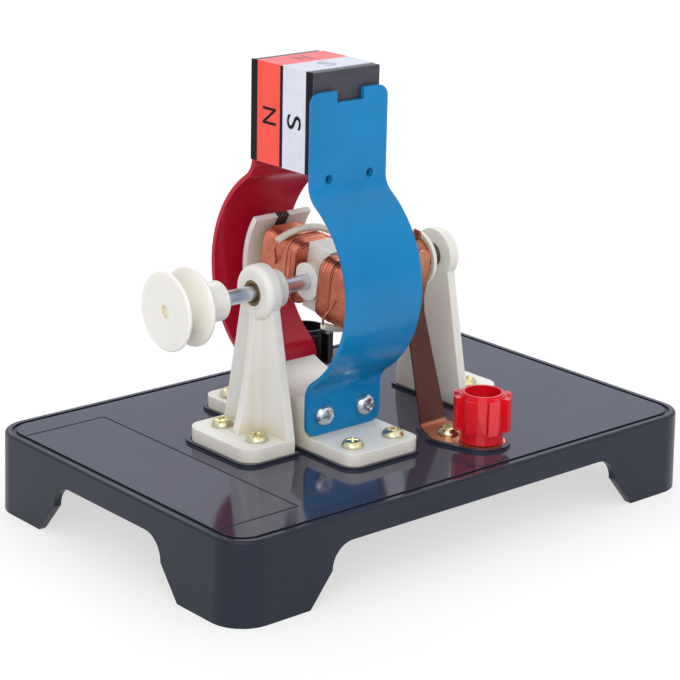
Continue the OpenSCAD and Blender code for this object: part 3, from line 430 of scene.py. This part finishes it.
# Bronze of the end bushes: its own colour, made darker as painted shade for the shadowed recess round each bush
def sintered_bronze_in_painted_shade():
    return surface("sintered_bronze_in_painted_shade", (0.20, 0.125, 0.06), 0.5, variation=0.2, patch=900,
                   grain=3500, bump=0.3, Metallic=0.9)


def red_cap_plastic():
    return surface("red_cap_plastic", (0.70, 0.006, 0.014), 0.16, variation=0.05, patch=90,
                   grain=900, bump=0.03, Coat_Weight=0.3, Coat_Roughness=0.05,
                   Subsurface_Weight=0.12, Subsurface_Radius=(1.0, 0.1, 0.05),
                   Subsurface_Scale=0.8 * MM)


def black_cap_plastic():
    return surface("black_cap_plastic", (0.011, 0.011, 0.012), 0.2, grain=900, bump=0.03)


def sleeving():
    return surface("sleeving", (0.78, 0.75, 0.64), 0.38, variation=0.07, patch=300,
                   Subsurface_Weight=0.3, Subsurface_Radius=(1.0, 0.8, 0.5),
                   Subsurface_Scale=0.6 * MM)


def make_materials():
    graphs = {
        "plate": plate_black(),
        "wall": wall_black(),
        "ivory": ivory("ivory_plastic"),
        "pulley": ivory("pulley_plastic", painted_glow_r=HUB_PAINTED_GLOW_R),
        "blue": enamel("blue", (0.001, 0.170, 0.395), (0.002, 0.207, 0.470)),
        "red": enamel("red", (0.42, 0.0045, 0.022), (0.51, 0.007, 0.030)),
        # Darker enamel that paints the shade at the dimples' bottoms
        "blue_dimple_shade": shaded_enamel("blue", (0.001, 0.035, 0.10)),
        "red_dimple_shade": shaded_enamel("red", (0.10, 0.001, 0.004)),
        "ferrite": ferrite(),
        "orange_label": label_print("orange_label", (0.89, 0.044, 0.017)),
        "lilac_label": label_print("lilac_label", (0.66, 0.67, 0.77)),
        "worn_north": label_print("worn_north", (0.36, 0.045, 0.03)),
        "worn_south": label_print("worn_south", (0.30, 0.30, 0.36)),
        "ink": black_ink(),
        "steel": shaft_steel(),
        "iron": lamination_iron(),
        "wire": copper_wire(),
        "painted_shade_wire": shaded_wire(),
        "brush": brush_copper(),
        "segment": segment_copper(),
        "gold_zinc": yellow_zinc(),
        "silver_zinc": silver_zinc(),
        "brass": turned_brass(),
        "bronze": sintered_bronze_in_painted_shade(),
        "red_cap": red_cap_plastic(),
        "black_cap": black_cap_plastic(),
        "sleeve": sleeving(),
    }
    return {key: g.owner for key, g in graphs.items()}


# ---------------------------------------------------------------- meshes
WELD = 0.5e-6
FLAT_DEG = 0.6
EDGE_DEG = 32
TURNED_DEG = 35
TINY_R = 1e-6


def add_object(name, mesh, body, material, place=None):
    """A mesh as a piece of the part, which rides on a body."""
    o = link_object(name, mesh)
    if not mesh.materials:
        mesh.materials.append(material)
    if place is not None:
        o.matrix_world = place
    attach(o, body)
    return o


def turn_outwards(mesh, weld=None):
    """Turns a mesh's faces outwards, after welding points that are nearer than weld."""
    bm = bmesh.new()
    bm.from_mesh(mesh)
    if weld is not None:
        bmesh.ops.remove_doubles(bm, verts=bm.verts, dist=weld)
    bmesh.ops.recalc_face_normals(bm, faces=bm.faces)
    bm.to_mesh(mesh)
    bm.free()


def shade_smooth(mesh, sharp_deg):
    """Shades a mesh smoothly, apart from edges that are sharper than an angle."""
    for p in mesh.polygons:
        p.use_smooth = True
    mesh.set_sharp_from_angle(angle=math.radians(sharp_deg))


def mesh_of(name, verts, faces, sharp_deg=TURNED_DEG):
    mesh = bpy.data.meshes.new(name)
    mesh.from_pydata([tuple(v) for v in verts], [], faces)
    turn_outwards(mesh)
    shade_smooth(mesh, sharp_deg)
    return mesh


def box_mesh(name, size, place):
    """Mesh of an upright box, centred on a place."""
    signs = [(x, y, z) for x in (-1, 1) for y in (-1, 1) for z in (-1, 1)]
    verts = [place + Vector([s * edge / 2 for s, edge in zip(corner, size)]) for corner in signs]
    faces = [(0, 1, 3, 2), (4, 6, 7, 5), (0, 4, 5, 1), (2, 3, 7, 6), (0, 2, 6, 4), (1, 5, 7, 3)]
    return mesh_of(name, verts, faces)


def soften(o, width, segments, angle):
    """Rounds an object's sharp edges and evens out its normals. The width is in mm."""
    edges = o.modifiers.new("edges", "BEVEL")
    edges.width = width * MM
    edges.segments = segments
    edges.limit_method = "ANGLE"
    edges.angle_limit = math.radians(angle)
    normals = o.modifiers.new("normals", "WEIGHTED_NORMAL")
    normals.keep_sharp = True


def from_cad(node, material, width=0.25, segments=3, angle=EDGE_DEG):
    """A piece with a CAD node's shape and softened edges, which stands for the node."""
    source = NODES[node].data
    bm = bmesh.new()
    verts = [bm.verts.new(v.co) for v in source.vertices]
    for p in source.polygons:
        try:
            bm.faces.new([verts[i] for i in p.vertices])
        except ValueError:
            pass  # a face that is there already isn't made twice
    bmesh.ops.remove_doubles(bm, verts=bm.verts, dist=WELD)
    bmesh.ops.dissolve_degenerate(bm, edges=bm.edges, dist=WELD)
    bmesh.ops.dissolve_limit(bm, angle_limit=math.radians(FLAT_DEG), verts=bm.verts,
                             edges=bm.edges)
    bmesh.ops.recalc_face_normals(bm, faces=bm.faces)
    mesh = bpy.data.meshes.new(node + "_piece")
    bm.to_mesh(mesh)
    bm.free()
    shade_smooth(mesh, angle)
    o = add_object(node + "_piece", mesh, BODY[node], material)
    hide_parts(node)
    if width:
        soften(o, width, segments, angle)
    return o


def evaluated_mesh(o):
    """A new mesh of what an object's text or its shown modifiers come out as."""
    bpy.context.view_layer.update()
    depsgraph = bpy.context.evaluated_depsgraph_get()
    return bpy.data.meshes.new_from_object(o.evaluated_get(depsgraph))


def carve(o, cutters):
    """Cuts meshes out of an object's own mesh, before its other modifiers."""
    later = [m.name for m in o.modifiers]
    tools = [link_object("cutter", mesh) for mesh in cutters]
    cuts = []
    for tool in tools:
        cut = o.modifiers.new("cut", "BOOLEAN")
        cut.operation = "DIFFERENCE"
        cut.solver = "EXACT"
        cut.object = tool
        cuts.append(cut.name)
        o.modifiers.move(len(o.modifiers) - 1, 0)
    for name in later:
        o.modifiers[name].show_viewport = False
    mesh = evaluated_mesh(o)
    for name in cuts:
        o.modifiers.remove(o.modifiers[name])
    for name in later:
        o.modifiers[name].show_viewport = True
    shade_smooth(mesh, EDGE_DEG)
    o.data = mesh
    for tool in tools:
        bpy.data.objects.remove(tool)


def lathe(name, profile, origin, direction, segments=72):
    """Mesh of a profile of (radius, height) in millimetres, turned about a direction."""
    z = Vector(direction).normalized()
    x = z.orthogonal().normalized()
    y = z.cross(x)
    verts, faces, rows = [], [], []
    for r, h in profile:
        if r < TINY_R:
            rows.append([len(verts)])
            verts.append(origin + z * h * MM)
        else:
            rows.append(list(range(len(verts), len(verts) + segments)))
            for i in range(segments):
                a = 2 * math.pi * i / segments
                verts.append(origin + (x * math.cos(a) + y * math.sin(a)) * r * MM + z * h * MM)
    for a, b in zip(rows, rows[1:]):
        for i in range(segments):
            j = (i + 1) % segments
            if len(a) == 1 and len(b) > 1:
                faces.append((a[0], b[i], b[j]))
            elif len(b) == 1 and len(a) > 1:
                faces.append((a[i], b[0], a[j]))
            elif len(a) > 1:
                faces.append((a[i], b[i], b[j], a[j]))
    return mesh_of(name, verts, faces)


def tube(points, radius, sides):
    """Corners and faces of a closed tube along points, carried along without twist."""
    verts, faces = [], []
    n = len(points)
    normal = None
    for i, p in enumerate(points):
        t = (points[min(i + 1, n - 1)] - points[max(i - 1, 0)]).normalized()
        if normal is None:
            normal = t.orthogonal().normalized()
        normal = (normal - t * normal.dot(t)).normalized()
        side = t.cross(normal)
        for s in range(sides):
            a = 2 * math.pi * s / sides
            verts.append(p + (normal * math.cos(a) + side * math.sin(a)) * radius)
    for i in range(n - 1):
        for s in range(sides):
            a, b = i * sides + s, i * sides + (s + 1) % sides
            faces.append((a, b, b + sides, a + sides))
    faces.append(tuple(range(sides - 1, -1, -1)))
    faces.append(tuple((n - 1) * sides + s for s in range(sides)))
    return verts, faces


def tubes_mesh(name, paths, radius, sides=8, sharp_deg=60):
    """One mesh of several tubes."""
    verts, faces = [], []
    for path in paths:
        tube_verts, tube_faces = tube(path, radius, sides)
        faces += [tuple(i + len(verts) for i in face) for face in tube_faces]
        verts += tube_verts
    return mesh_of(name, verts, faces, sharp_deg)


def smooth_path(points, steps=8):
    """Catmull-Rom curve through points."""
    out = []
    pts = [points[0] * 2 - points[1]] + points + [points[-1] * 2 - points[-2]]
    for a, b, c, d in zip(pts, pts[1:], pts[2:], pts[3:]):
        for s in range(steps):
            t = s / steps
            out.append(0.5 * (2 * b + (c - a) * t + (2 * a - 5 * b + 4 * c - d) * t * t
                              + (3 * b - a - 3 * c + d) * t ** 3))
    out.append(points[-1].copy())
    return out


# ---------------------------------------------------------------- base
PLATE_INSET = 4 * MM
PLATE_DROP = 0.5 * MM
UPWARD = 0.9


def build_base():
    """The base in satin black. Its upward faces inside the rim are the glossy plate."""
    o = from_cad("base", MAT["wall"], width=0.3, angle=30)
    plate = len(o.data.materials)
    o.data.materials.append(MAT["plate"])
    for p in o.data.polygons:
        c = p.center
        inside = abs(c.x) < BASE_HIGH.x - PLATE_INSET and abs(c.y) < BASE_HIGH.y - PLATE_INSET
        if p.normal.z > UPWARD and c.z > DECK_Z - PLATE_DROP and inside:
            p.material_index = plate


# ---------------------------------------------------------------- screws
# Lengths are in millimetres, and heights are from the seat of the head.
HEAD_R = 2.9
HEAD_H = 1.9
HEAD_RINGS = 26
HEAD_AROUND = 72
CROWN_FALL = 0.12             # share of the height that the crown loses by the rim
SHOULDER = 0.62               # share of the radius at which the edge starts to fall
SHOULDER_FALL = 0.62          # share of the height that the edge loses
RECESS_DEPTH = 1.25
RECESS_ACROSS = (0.22, 0.20)  # half width of an arm's floor, and of the slope beside it
RECESS_ALONG = (1.15, 0.55)   # reach of an arm's floor, and of the slope at its end
RECESS_FLARE = 0.8
UNDERHEAD = [(HEAD_R, 0.15), (HEAD_R - 0.15, 0.0), (1.45, 0.0)]
THREAD_R = 1.4
THREAD_ROOT_R = 1.18
THREAD_PITCH = 0.5
TIP_R = 0.9
TIP_H = 0.1
TIP_END_R = 0.05
SCREW_SHARP_DEG = 40
SCREW_SEED = 7
# node, finish, length of the shank
SCREWS = (("pedestal_screws", "gold_zinc", 10.0), ("pole_block_screws", "gold_zinc", 9.8),
          ("brush_screws", "gold_zinc", 6.6), ("pole_shoe_screws", "silver_zinc", 6.0))


def fade(value, flat, slope):
    """1 up to flat, then down to 0 over a length of slope."""
    return 1 - min(1.0, max(0.0, (value - flat) / slope))


def head_height(x, y):
    """Height of a pan head's top. Its cross recess narrows downwards."""
    r = math.hypot(x, y) / HEAD_R
    crown = 1 - CROWN_FALL * r * r
    shoulder = 1 - (max(0.0, r - SHOULDER) / (1 - SHOULDER)) ** 2 * SHOULDER_FALL
    arms = [fade(abs(v), *RECESS_ACROSS) * fade(abs(u), *RECESS_ALONG) ** RECESS_FLARE
            for u, v in ((x, y), (y, x))]
    return HEAD_H * crown * shoulder - RECESS_DEPTH * max(arms)


def screw_mesh(name, shank):
    """Pan head with a cross recess, over a threaded shank."""
    lower = list(UNDERHEAD)
    for i in range(int(shank / THREAD_PITCH)):
        for radius, part in ((THREAD_R, 0.1), (THREAD_ROOT_R, 0.5), (THREAD_R, 0.9)):
            lower.append((radius, -THREAD_PITCH * (i + part)))
    lower += [(TIP_R, -shank + TIP_H), (TIP_END_R, -shank)]
    around = [2 * math.pi * i / HEAD_AROUND for i in range(HEAD_AROUND)]
    verts = [(0, 0, head_height(0, 0))]
    for k in range(1, HEAD_RINGS + 1):
        r = HEAD_R * k / HEAD_RINGS
        for a in around:
            x, y = r * math.cos(a), r * math.sin(a)
            verts.append((x, y, head_height(x, y)))
    for r, z in lower:
        verts += [(r * math.cos(a), r * math.sin(a), z) for a in around]
    faces = [(0, 1 + i, 1 + (i + 1) % HEAD_AROUND) for i in range(HEAD_AROUND)]
    for k in range(HEAD_RINGS + len(lower) - 1):
        first = 1 + k * HEAD_AROUND
        for i in range(HEAD_AROUND):
            a, b = first + i, first + (i + 1) % HEAD_AROUND
            faces.append((a, a + HEAD_AROUND, b + HEAD_AROUND, b))
    return mesh_of(name, [Vector(v) * MM for v in verts], faces, SCREW_SHARP_DEG)


def screw_spots(node):
    """The seat and the outward direction of each screw's head, from the node's box."""
    low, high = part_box(node)
    r, head = HEAD_R * MM, HEAD_H * MM
    xs = (low.x + r, high.x - r)
    if node == "pole_shoe_screws":
        seat, z = high.y - head, centre(node).z
        return [(Vector((x, side * seat, z)), Vector((0, side, 0))) for x in xs for side in (-1, 1)]
    if node == "brush_screws":
        xs = xs[:1]
    ys = (low.y + r, high.y - r)
    return [(Vector((x, y, high.z - head)), Vector((0, 0, 1))) for x in xs for y in ys]


def build_screws():
    rng = random.Random(SCREW_SEED)
    for node, finish, shank in SCREWS:
        mesh = screw_mesh(node + "_mesh", shank)
        for k, (seat, axis) in enumerate(screw_spots(node)):
            turn = Matrix.Rotation(rng.uniform(0, math.pi / 2), 4, "Z")
            upright = axis.to_track_quat("Z", "Y").to_matrix().to_4x4()
            o = add_object(f"{node}_{k + 1}", mesh, BODY[node], MAT[finish],
                           Matrix.Translation(seat) @ upright @ turn)
            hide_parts(node)


# ---------------------------------------------------------------- coils
# Lengths are in millimetres: along from the shaft, build from the surface of the arm.
COIL_IN = 4.4
COIL_OUT = 19.6
WIND_X = 3.5
WIND_Y = 5.0
WIND_CORNER = 3.0
WIRE_R = 0.3
LOOP_STEPS = 40
LAYERS = ((2.95, 30), (3.22, 36))  # build, number of loops
LAYER_INSET = 0.5
LAYER_STEP = 0.3
LAYER_START = 0.25
LAYER_DRIFT = (-0.04, 0.04)
LAYER_LIFT = (-0.015, 0.02)
LOOSE_COUNT = 10
LOOSE_STEPS = int(LOOP_STEPS * 1.6)
LOOSE_FIRST = 0.7
LOOSE_PITCH = 0.52
LOOSE_SHIFT = (-0.25, 0.25)
LOOSE_SLOPE = (0.2, 1.3)
LOOSE_BUILD = 3.40
LOOSE_RISE = 0.04
LOOSE_OUT = 0.6
# Radius of the thinner turns that paint shade lines
SHADED_R = 0.6 * WIRE_R
COIL_SEED = 40


def loop_point(turn, along, build):
    """A point of a winding, as (along, up, fore), where turn counts the loops so far."""
    half_x, half_y = WIND_X + build, WIND_Y + build
    straight_x, straight_y = 2 * (half_x - WIND_CORNER), 2 * (half_y - WIND_CORNER)
    bend = WIND_CORNER * math.pi / 2
    lengths = (straight_y, bend, straight_x, bend) * 2
    left = (turn % 1.0) * sum(lengths)
    x, y = half_x, -(half_y - WIND_CORNER)
    dx, dy = 0.0, 1.0
    for k, length in enumerate(lengths):
        part = min(left, length)
        if k % 2 == 0:
            x, y = x + dx * part, y + dy * part
        else:
            sin, cos = math.sin(part / WIND_CORNER), math.cos(part / WIND_CORNER)
            cx, cy = x - dy * WIND_CORNER, y + dx * WIND_CORNER
            ox, oy = x - cx, y - cy
            x, y = cx + ox * cos - oy * sin, cy + ox * sin + oy * cos
            dx, dy = dx * cos - dy * sin, dx * sin + dy * cos
        left -= part
        if left <= 0:
            break
    return along, y, x


def close_layer(rng, number, build, loops):
    """Points of one close row of loops, each a little off its place."""
    start, stop = COIL_IN + LAYER_INSET, COIL_OUT - LAYER_INSET - LAYER_STEP * number
    drift = [rng.uniform(*LAYER_DRIFT) for _ in range(loops + 2)]
    lift = [rng.uniform(*LAYER_LIFT) for _ in range(loops + 2)]
    path = []
    for i in range(loops * LOOP_STEPS + 1):
        k, step = divmod(i, LOOP_STEPS)
        t = step / LOOP_STEPS
        along = (start + (stop - start) * i / (loops * LOOP_STEPS)
                 + drift[k] * (1 - t) + drift[k + 1] * t)
        raised = build + lift[k] * (1 - t) + lift[k + 1] * t
        path.append(loop_point(LAYER_START + i / LOOP_STEPS, along, raised))
    return path


def loose_turn(rng, number):
    """Points of a loose turn, which crosses the others at a slope."""
    first = COIL_IN + LOOSE_FIRST + LOOSE_PITCH * number + rng.uniform(*LOOSE_SHIFT)
    slope = rng.uniform(*LOOSE_SLOPE) * rng.choice((-1, 1))
    phase = rng.uniform(0, 1)
    build = LOOSE_BUILD + LOOSE_RISE * (number % 3)
    path = []
    for i in range(LOOSE_STEPS):
        t = i / LOOP_STEPS
        along = min(max(first + slope * t, COIL_IN + LAYER_INSET), COIL_OUT - LOOSE_OUT)
        path.append(loop_point(phase + t, along, build))
    return path


def on_arm(path, sign):
    """A path in the part's frame, on the armature's first arm (1) or its second (-1)."""
    return [arm_point(sign * along, sign * up, fore) for along, up, fore in path]


def build_coil(number, sign):
    """Two close layers of wire and some loose turns, every third of them thinner and in a darker copper that
    paints the shade lines between turns.
    """
    rng = random.Random(COIL_SEED + number)
    from_cad(f"coil_{number}_core", MAT["wire"], width=0)
    layers = [close_layer(rng, k, *layer) for k, layer in enumerate(LAYERS)]
    loose = [loose_turn(rng, k) for k in range(LOOSE_COUNT)]
    shaded = loose[1::3]
    lit = [turn for k, turn in enumerate(loose) if k % 3 != 1]
    paths = [on_arm(path, sign) for path in layers + lit]
    mesh = tubes_mesh(f"coil_{number}_wire", paths, WIRE_R * MM)
    wire = add_object(f"coil_{number}_wire", mesh, "rotor", MAT["wire"])
    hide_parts(f"coil_{number}_turns")
    # Painted shade: thinner, darker turns stand for the shadows between turns
    paths = [on_arm(path, sign) for path in shaded]
    mesh = tubes_mesh(f"coil_{number}_shaded", paths, SHADED_R * MM)
    add_object(f"coil_{number}_shaded", mesh, "rotor", MAT["painted_shade_wire"])


# ---------------------------------------------------------------- rotor
# Each point is (along, up, fore) in millimetres from the armature's centre.
SLEEVE_R = 0.95
SLEEVE_ARCH = [(10.7, 7.90, -9.0), (10.7, 8.98, -6.5), (10.7, 9.78, -3.5), (10.7, 10.1, 0),
               (10.7, 9.78, 3.5), (10.7, 8.98, 6.5), (10.7, 7.90, 9.0)]
REAR_LEAD = [(10.7, 8.2, 8.6), (10.6, 6.2, 9.8), (9.0, 3.0, 9.6), (6.0, 2.5, 10.6)]
FRONT_LEAD = [(10.7, 8.2, -8.6), (10.9, 6.0, -9.4), (11.6, 3.2, -8.2), (12.4, 0.5, -7.3)]


def build_leads():
    """Sleeves over the coils, with a bare lead out of each end."""
    sleeves, leads = [], []
    for sign in (1, -1):
        sleeves.append(smooth_path(on_arm(SLEEVE_ARCH, sign)))
        leads += [smooth_path(on_arm(route, sign)) for route in (REAR_LEAD, FRONT_LEAD)]
    mesh = tubes_mesh("sleeves", sleeves, SLEEVE_R * MM, sides=16)
    sleeve = add_object("lead_sleeves_piece", mesh, "rotor", MAT["sleeve"])
    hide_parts("lead_sleeves")
    mesh = tubes_mesh("coil_leads", leads, WIRE_R * MM)
    add_object("coil_leads", mesh, "rotor", MAT["wire"])


def build_rotor():
    from_cad("rotor_shaft", MAT["steel"], width=0)
    from_cad("shaft_collar", MAT["ivory"], width=0.35)
    from_cad("pulley", MAT["pulley"], width=0.2, segments=2)
    from_cad("commutator_drum", MAT["ivory"])
    from_cad("commutator_segments", MAT["segment"], width=0.12, segments=2)
    for node in ("armature_frame_front", "armature_frame_rear"):
        from_cad(node, MAT["ivory"], width=0.3)
    from_cad("armature_core", MAT["iron"], width=0.1, segments=1)
    build_coil(1, 1)
    build_coil(2, -1)
    build_leads()


# ---------------------------------------------------------------- magnets
# side, material of its label, letter on it, stretch of the letter across
LABELS = (("north", "orange_label", "N", 0.90), ("south", "lilac_label", "S", 1.22))
LETTER_SIZE = 7.6 * MM
LETTER_BOLD = 0.055 * MM
LETTER_THICK = 0.01 * MM
LETTER_LIFT = 0.03 * MM
FRONT_LETTER_RISE = 12.5 * MM
TOP_LETTER_BACK = 11 * MM
STRIP_PROUD = 0.03 * MM
STRIP_SUNK = 0.02 * MM
STRIP_LAP = 0.3 * MM
STRIP_SHORT = 0.1 * MM
MIDDLE_STRIP = (-0.7 * MM, 0.4 * MM)
SOUTH_LAP = 0.1 * MM


def letter_mesh(text, stretch, place, right, up):
    """Mesh of a letter on a face whose right and up directions are given."""
    curve = bpy.data.curves.new("letter_" + text, "FONT")
    curve.body = text
    curve.size = LETTER_SIZE
    curve.align_x = "CENTER"
    curve.align_y = "CENTER"
    curve.extrude = LETTER_THICK
    curve.offset = LETTER_BOLD
    o = link_object("letter_source", curve)
    mesh = evaluated_mesh(o)
    bpy.data.objects.remove(o)
    x, y = Vector(right), Vector(up)
    matrix = Matrix((x * stretch, y, x.cross(y))).transposed().to_4x4()
    matrix.translation = place
    mesh.transform(matrix)
    return mesh


def build_magnets():
    """The magnets with their folded labels, and a letter on each label's two faces."""
    for side, finish, text, stretch in LABELS:
        label = side + "_label"
        from_cad(side + "_magnet", MAT["ferrite"], segments=2)
        from_cad(label, MAT[finish], width=0)
        low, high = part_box(label)
        mid_y = (low.y + high.y) / 2
        front = Vector((low.x - LETTER_LIFT, mid_y, low.z + FRONT_LETTER_RISE))
        mesh = letter_mesh(text, stretch, front, (0, 0, -1), (0, -1, 0))
        add_object(f"{side}_letter_front", mesh, "magnets", MAT["ink"])
        top = Vector((low.x + TOP_LETTER_BACK, mid_y, high.z + LETTER_LIFT))
        mesh = letter_mesh(text, stretch, top, (1, 0, 0), (0, 1, 0))
        add_object(f"{side}_letter_top", mesh, "magnets", MAT["worn_" + side])


def build_strips():
    """Black strips on the magnets' front, between the labels and outside them."""
    low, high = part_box("north_label")
    magnet_low, magnet_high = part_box("north_magnet")
    south_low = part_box("south_label")[0]
    south_magnet_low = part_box("south_magnet")[0]
    front, back = low.x - STRIP_PROUD, magnet_low.x + STRIP_SUNK
    for name, a, b in (("between", *MIDDLE_STRIP),
                       ("outer_north", high.y - STRIP_LAP, magnet_high.y - STRIP_LAP),
                       ("outer_south", south_magnet_low.y + STRIP_LAP, south_low.y + SOUTH_LAP)):
        place = Vector((front + back, a + b, low.z + high.z)) / 2
        size = (back - front, b - a, high.z - low.z - STRIP_SHORT)
        add_object(f"strip_{name}", box_mesh("strip", size, place), "magnets",
                   MAT["ink"])


# ---------------------------------------------------------------- pole shoes
# Profiles are (radius, height) in millimetres, from a shoe's outer face.
DIMPLE_X = 6.8 * MM
DIMPLE_DROP = 1.1 * MM
DIMPLE_CUT = [(0, -1.0), (0.85, -1.0), (1.1, -0.6), (1.2, 0.5), (0, 0.5)]
DIMPLE_LIP = [(1.15, -0.05), (1.2, 0.12), (1.4, 0.20), (1.65, 0.14), (1.95, -0.02)]
# A dark disc in the shaded enamel at each dimple's bottom, which paints the shade there
DIMPLE_SHADE_DISC = [(0, -0.90), (0.84, -0.90), (0.84, -1.05), (0, -1.05)]
DIMPLE_AROUND = 32
LIP_AROUND = 48


def build_shoe(node, material, floor, side):
    """A bent strip with two punched dimples under the magnets, each with a raised lip and a dark disc of painted
    shade at its bottom.
    """
    o = from_cad(node, material, width=0.28, angle=25)
    outer_y = side * (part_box("pole_shoe_screws")[1].y - HEAD_H * MM)
    dimple_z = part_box("north_magnet")[0].z - DIMPLE_DROP
    axis = (0, side, 0)
    cutters = []
    for x in (-DIMPLE_X, DIMPLE_X):
        place = Vector((POLE_X + x, outer_y, dimple_z))
        cutters.append(lathe("dimple", DIMPLE_CUT, place, axis, DIMPLE_AROUND))
        lip = lathe("lip", DIMPLE_LIP, place, axis, LIP_AROUND)
        add_object(f"{node}_lip", lip, "stand", material)
        # Painted shade: a dark disc at the dimple's bottom
        pit = lathe("pit", DIMPLE_SHADE_DISC, place, axis, DIMPLE_AROUND)
        add_object(f"{node}_pit", pit, "stand", floor)
    carve(o, cutters)


# ---------------------------------------------------------------- stand
def build_stand():
    build_base()
    for node in ("pulley_pedestal", "commutator_pedestal"):
        from_cad(node, MAT["ivory"], width=0.8, segments=5)
    from_cad("pole_block", MAT["ivory"], width=0.6, segments=4)
    for node in ("pulley_end_bush", "commutator_end_bush"):
        from_cad(node, MAT["bronze"], width=0.1, segments=1)
    build_shoe("blue_pole_shoe", MAT["blue"], MAT["blue_dimple_shade"], -1)
    build_shoe("red_pole_shoe", MAT["red"], MAT["red_dimple_shade"], 1)
    for node in ("front_brush", "back_brush"):
        from_cad(node, MAT["brush"], width=0.1, segments=2)
    from_cad("terminal_posts", MAT["brass"], width=0.15, segments=2)
    from_cad("terminal_washers", MAT["silver_zinc"], width=0.12, segments=2)
    from_cad("terminal_nuts", MAT["brass"], width=0.15, segments=2)


# ---------------------------------------------------------------- caps
# Closed profile of (radius, height) in millimetres, from the middle of a cap's top.
RIM_CUT = [(5.95, -0.9), (9.0, -0.9), (9.0, 1.0), (5.4, 1.0), (5.4, -0.35), (5.95, -0.35),
           (5.95, -0.9)]


def build_caps():
    """Two equal screw caps, each with a stepped rim round its socket."""
    red = from_cad("red_terminal_cap", MAT["red_cap"], width=0.22)
    low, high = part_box("red_terminal_cap")
    top = Vector(((low.x + high.x) / 2, (low.y + high.y) / 2, high.z))
    rim = lathe("rim", RIM_CUT, top, (0, 0, 1))
    turn_outwards(rim, weld=WELD)
    carve(red, [rim])
    black = from_cad("black_terminal_cap", MAT["black_cap"], width=0.22)
    shape = red.data.copy()
    shape.transform(Matrix.Translation(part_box("black_terminal_cap")[0] - low))
    shape.materials[0] = MAT["black_cap"]
    black.data = shape


# ---------------------------------------------------------------- studio
# In metres and watts. Each lamp is (name, place, width and height, power).
LAMPS = (("key", (-0.9, -0.55, 1.1), (0.7, 0.7), 0.8),
         ("low", (-0.80, -0.78, 0.52), (0.9, 0.6), 4.6),
         ("fill", (0.25, -1.2, 0.7), (0.8, 0.6), 0.9),
         ("back", (0.7, 0.9, 1.0), (0.8, 0.5), 4.5))
LAMP_TARGET = Vector((0, 0, 0.05))
FLOOR_HALF = 6.0
FLOOR_GLOW = 1.02
FLOOR_GLOW_SHARE = 0.6
SKY_LOW = (0.43, 0.445, 0.53)
SKY_HIGH = (1.0, 1.0, 1.0)
SKY_RANGE = (0.0, 0.75)
SKY_IN_GLOSS = (0.66, 0.68, 0.79)


def area_light(name, place, size, power):
    data = bpy.data.lights.new(name, "AREA")
    data.shape = "RECTANGLE"
    data.size, data.size_y = size
    data.energy = power
    o = link_object(name, data)
    o.location = place
    o.rotation_mode = "QUATERNION"
    o.rotation_quaternion = (LAMP_TARGET - Vector(place)).to_track_quat("-Z", "Y")


def glow_to_camera(g):
    """Lets a floor look white to the camera and in reflections, and keep its shadows."""
    path = g.node("ShaderNodeLightPath")
    seen = g.node("ShaderNodeMath", operation="MAXIMUM")
    g.link(path.outputs["Is Camera Ray"], seen.inputs[0])
    g.link(path.outputs["Is Glossy Ray"], seen.inputs[1])
    share = g.node("ShaderNodeMath", operation="MULTIPLY")
    g.link(seen.outputs[0], share.inputs[0])
    share.inputs[1].default_value = FLOOR_GLOW_SHARE
    glow = g.node("ShaderNodeEmission", Color=(1, 1, 1, 1), Strength=FLOOR_GLOW)
    both = g.node("ShaderNodeMixShader")
    g.link(share.outputs[0], both.inputs[0])
    g.link(g.shader.outputs[0], both.inputs[1])
    g.link(glow.outputs[0], both.inputs[2])
    g.link(both.outputs[0], g.tree.nodes["Material Output"].inputs["Surface"])


def build_floor():
    corners = [(-1, -1), (1, -1), (1, 1), (-1, 1)]
    mesh = bpy.data.meshes.new("floor")
    mesh.from_pydata([(x * FLOOR_HALF, y * FLOOR_HALF, 0) for x, y in corners], [], [(0, 1, 2, 3)])
    floor = link_object("floor", mesh)
    g = material_graph("floor_white")
    g.feed("Base Color", g.tones(g.noise(3), (0.90, 0.90, 0.905), (0.92, 0.92, 0.925)))
    g.set(Roughness=0.9, Specular_IOR_Level=0.1)
    glow_to_camera(g)
    mesh.materials.append(g.owner)


def build_sky():
    """A soft white sky, darker low down, which is lighter there in reflections."""
    world = bpy.data.worlds.new("studio")
    bpy.context.scene.world = world
    g = Graph(world, shader="Background", coords="Generated")
    sky = g.tones(g.split()["Z"], SKY_LOW, SKY_HIGH, SKY_RANGE)
    glossy = g.node("ShaderNodeLightPath").outputs["Is Glossy Ray"]
    g.feed("Color", g.mix(glossy, sky, SKY_IN_GLOSS, blend="LIGHTEN"))
    g.set(Strength=1.0)


def build_studio():
    build_floor()
    build_sky()
    for lamp in LAMPS:
        area_light(*lamp)
    bpy.context.scene.view_settings.view_transform = "Standard"


make_camera()
MAT = make_materials()
build_stand()
build_screws()
build_rotor()
build_magnets()
build_strips()
build_caps()
build_studio()
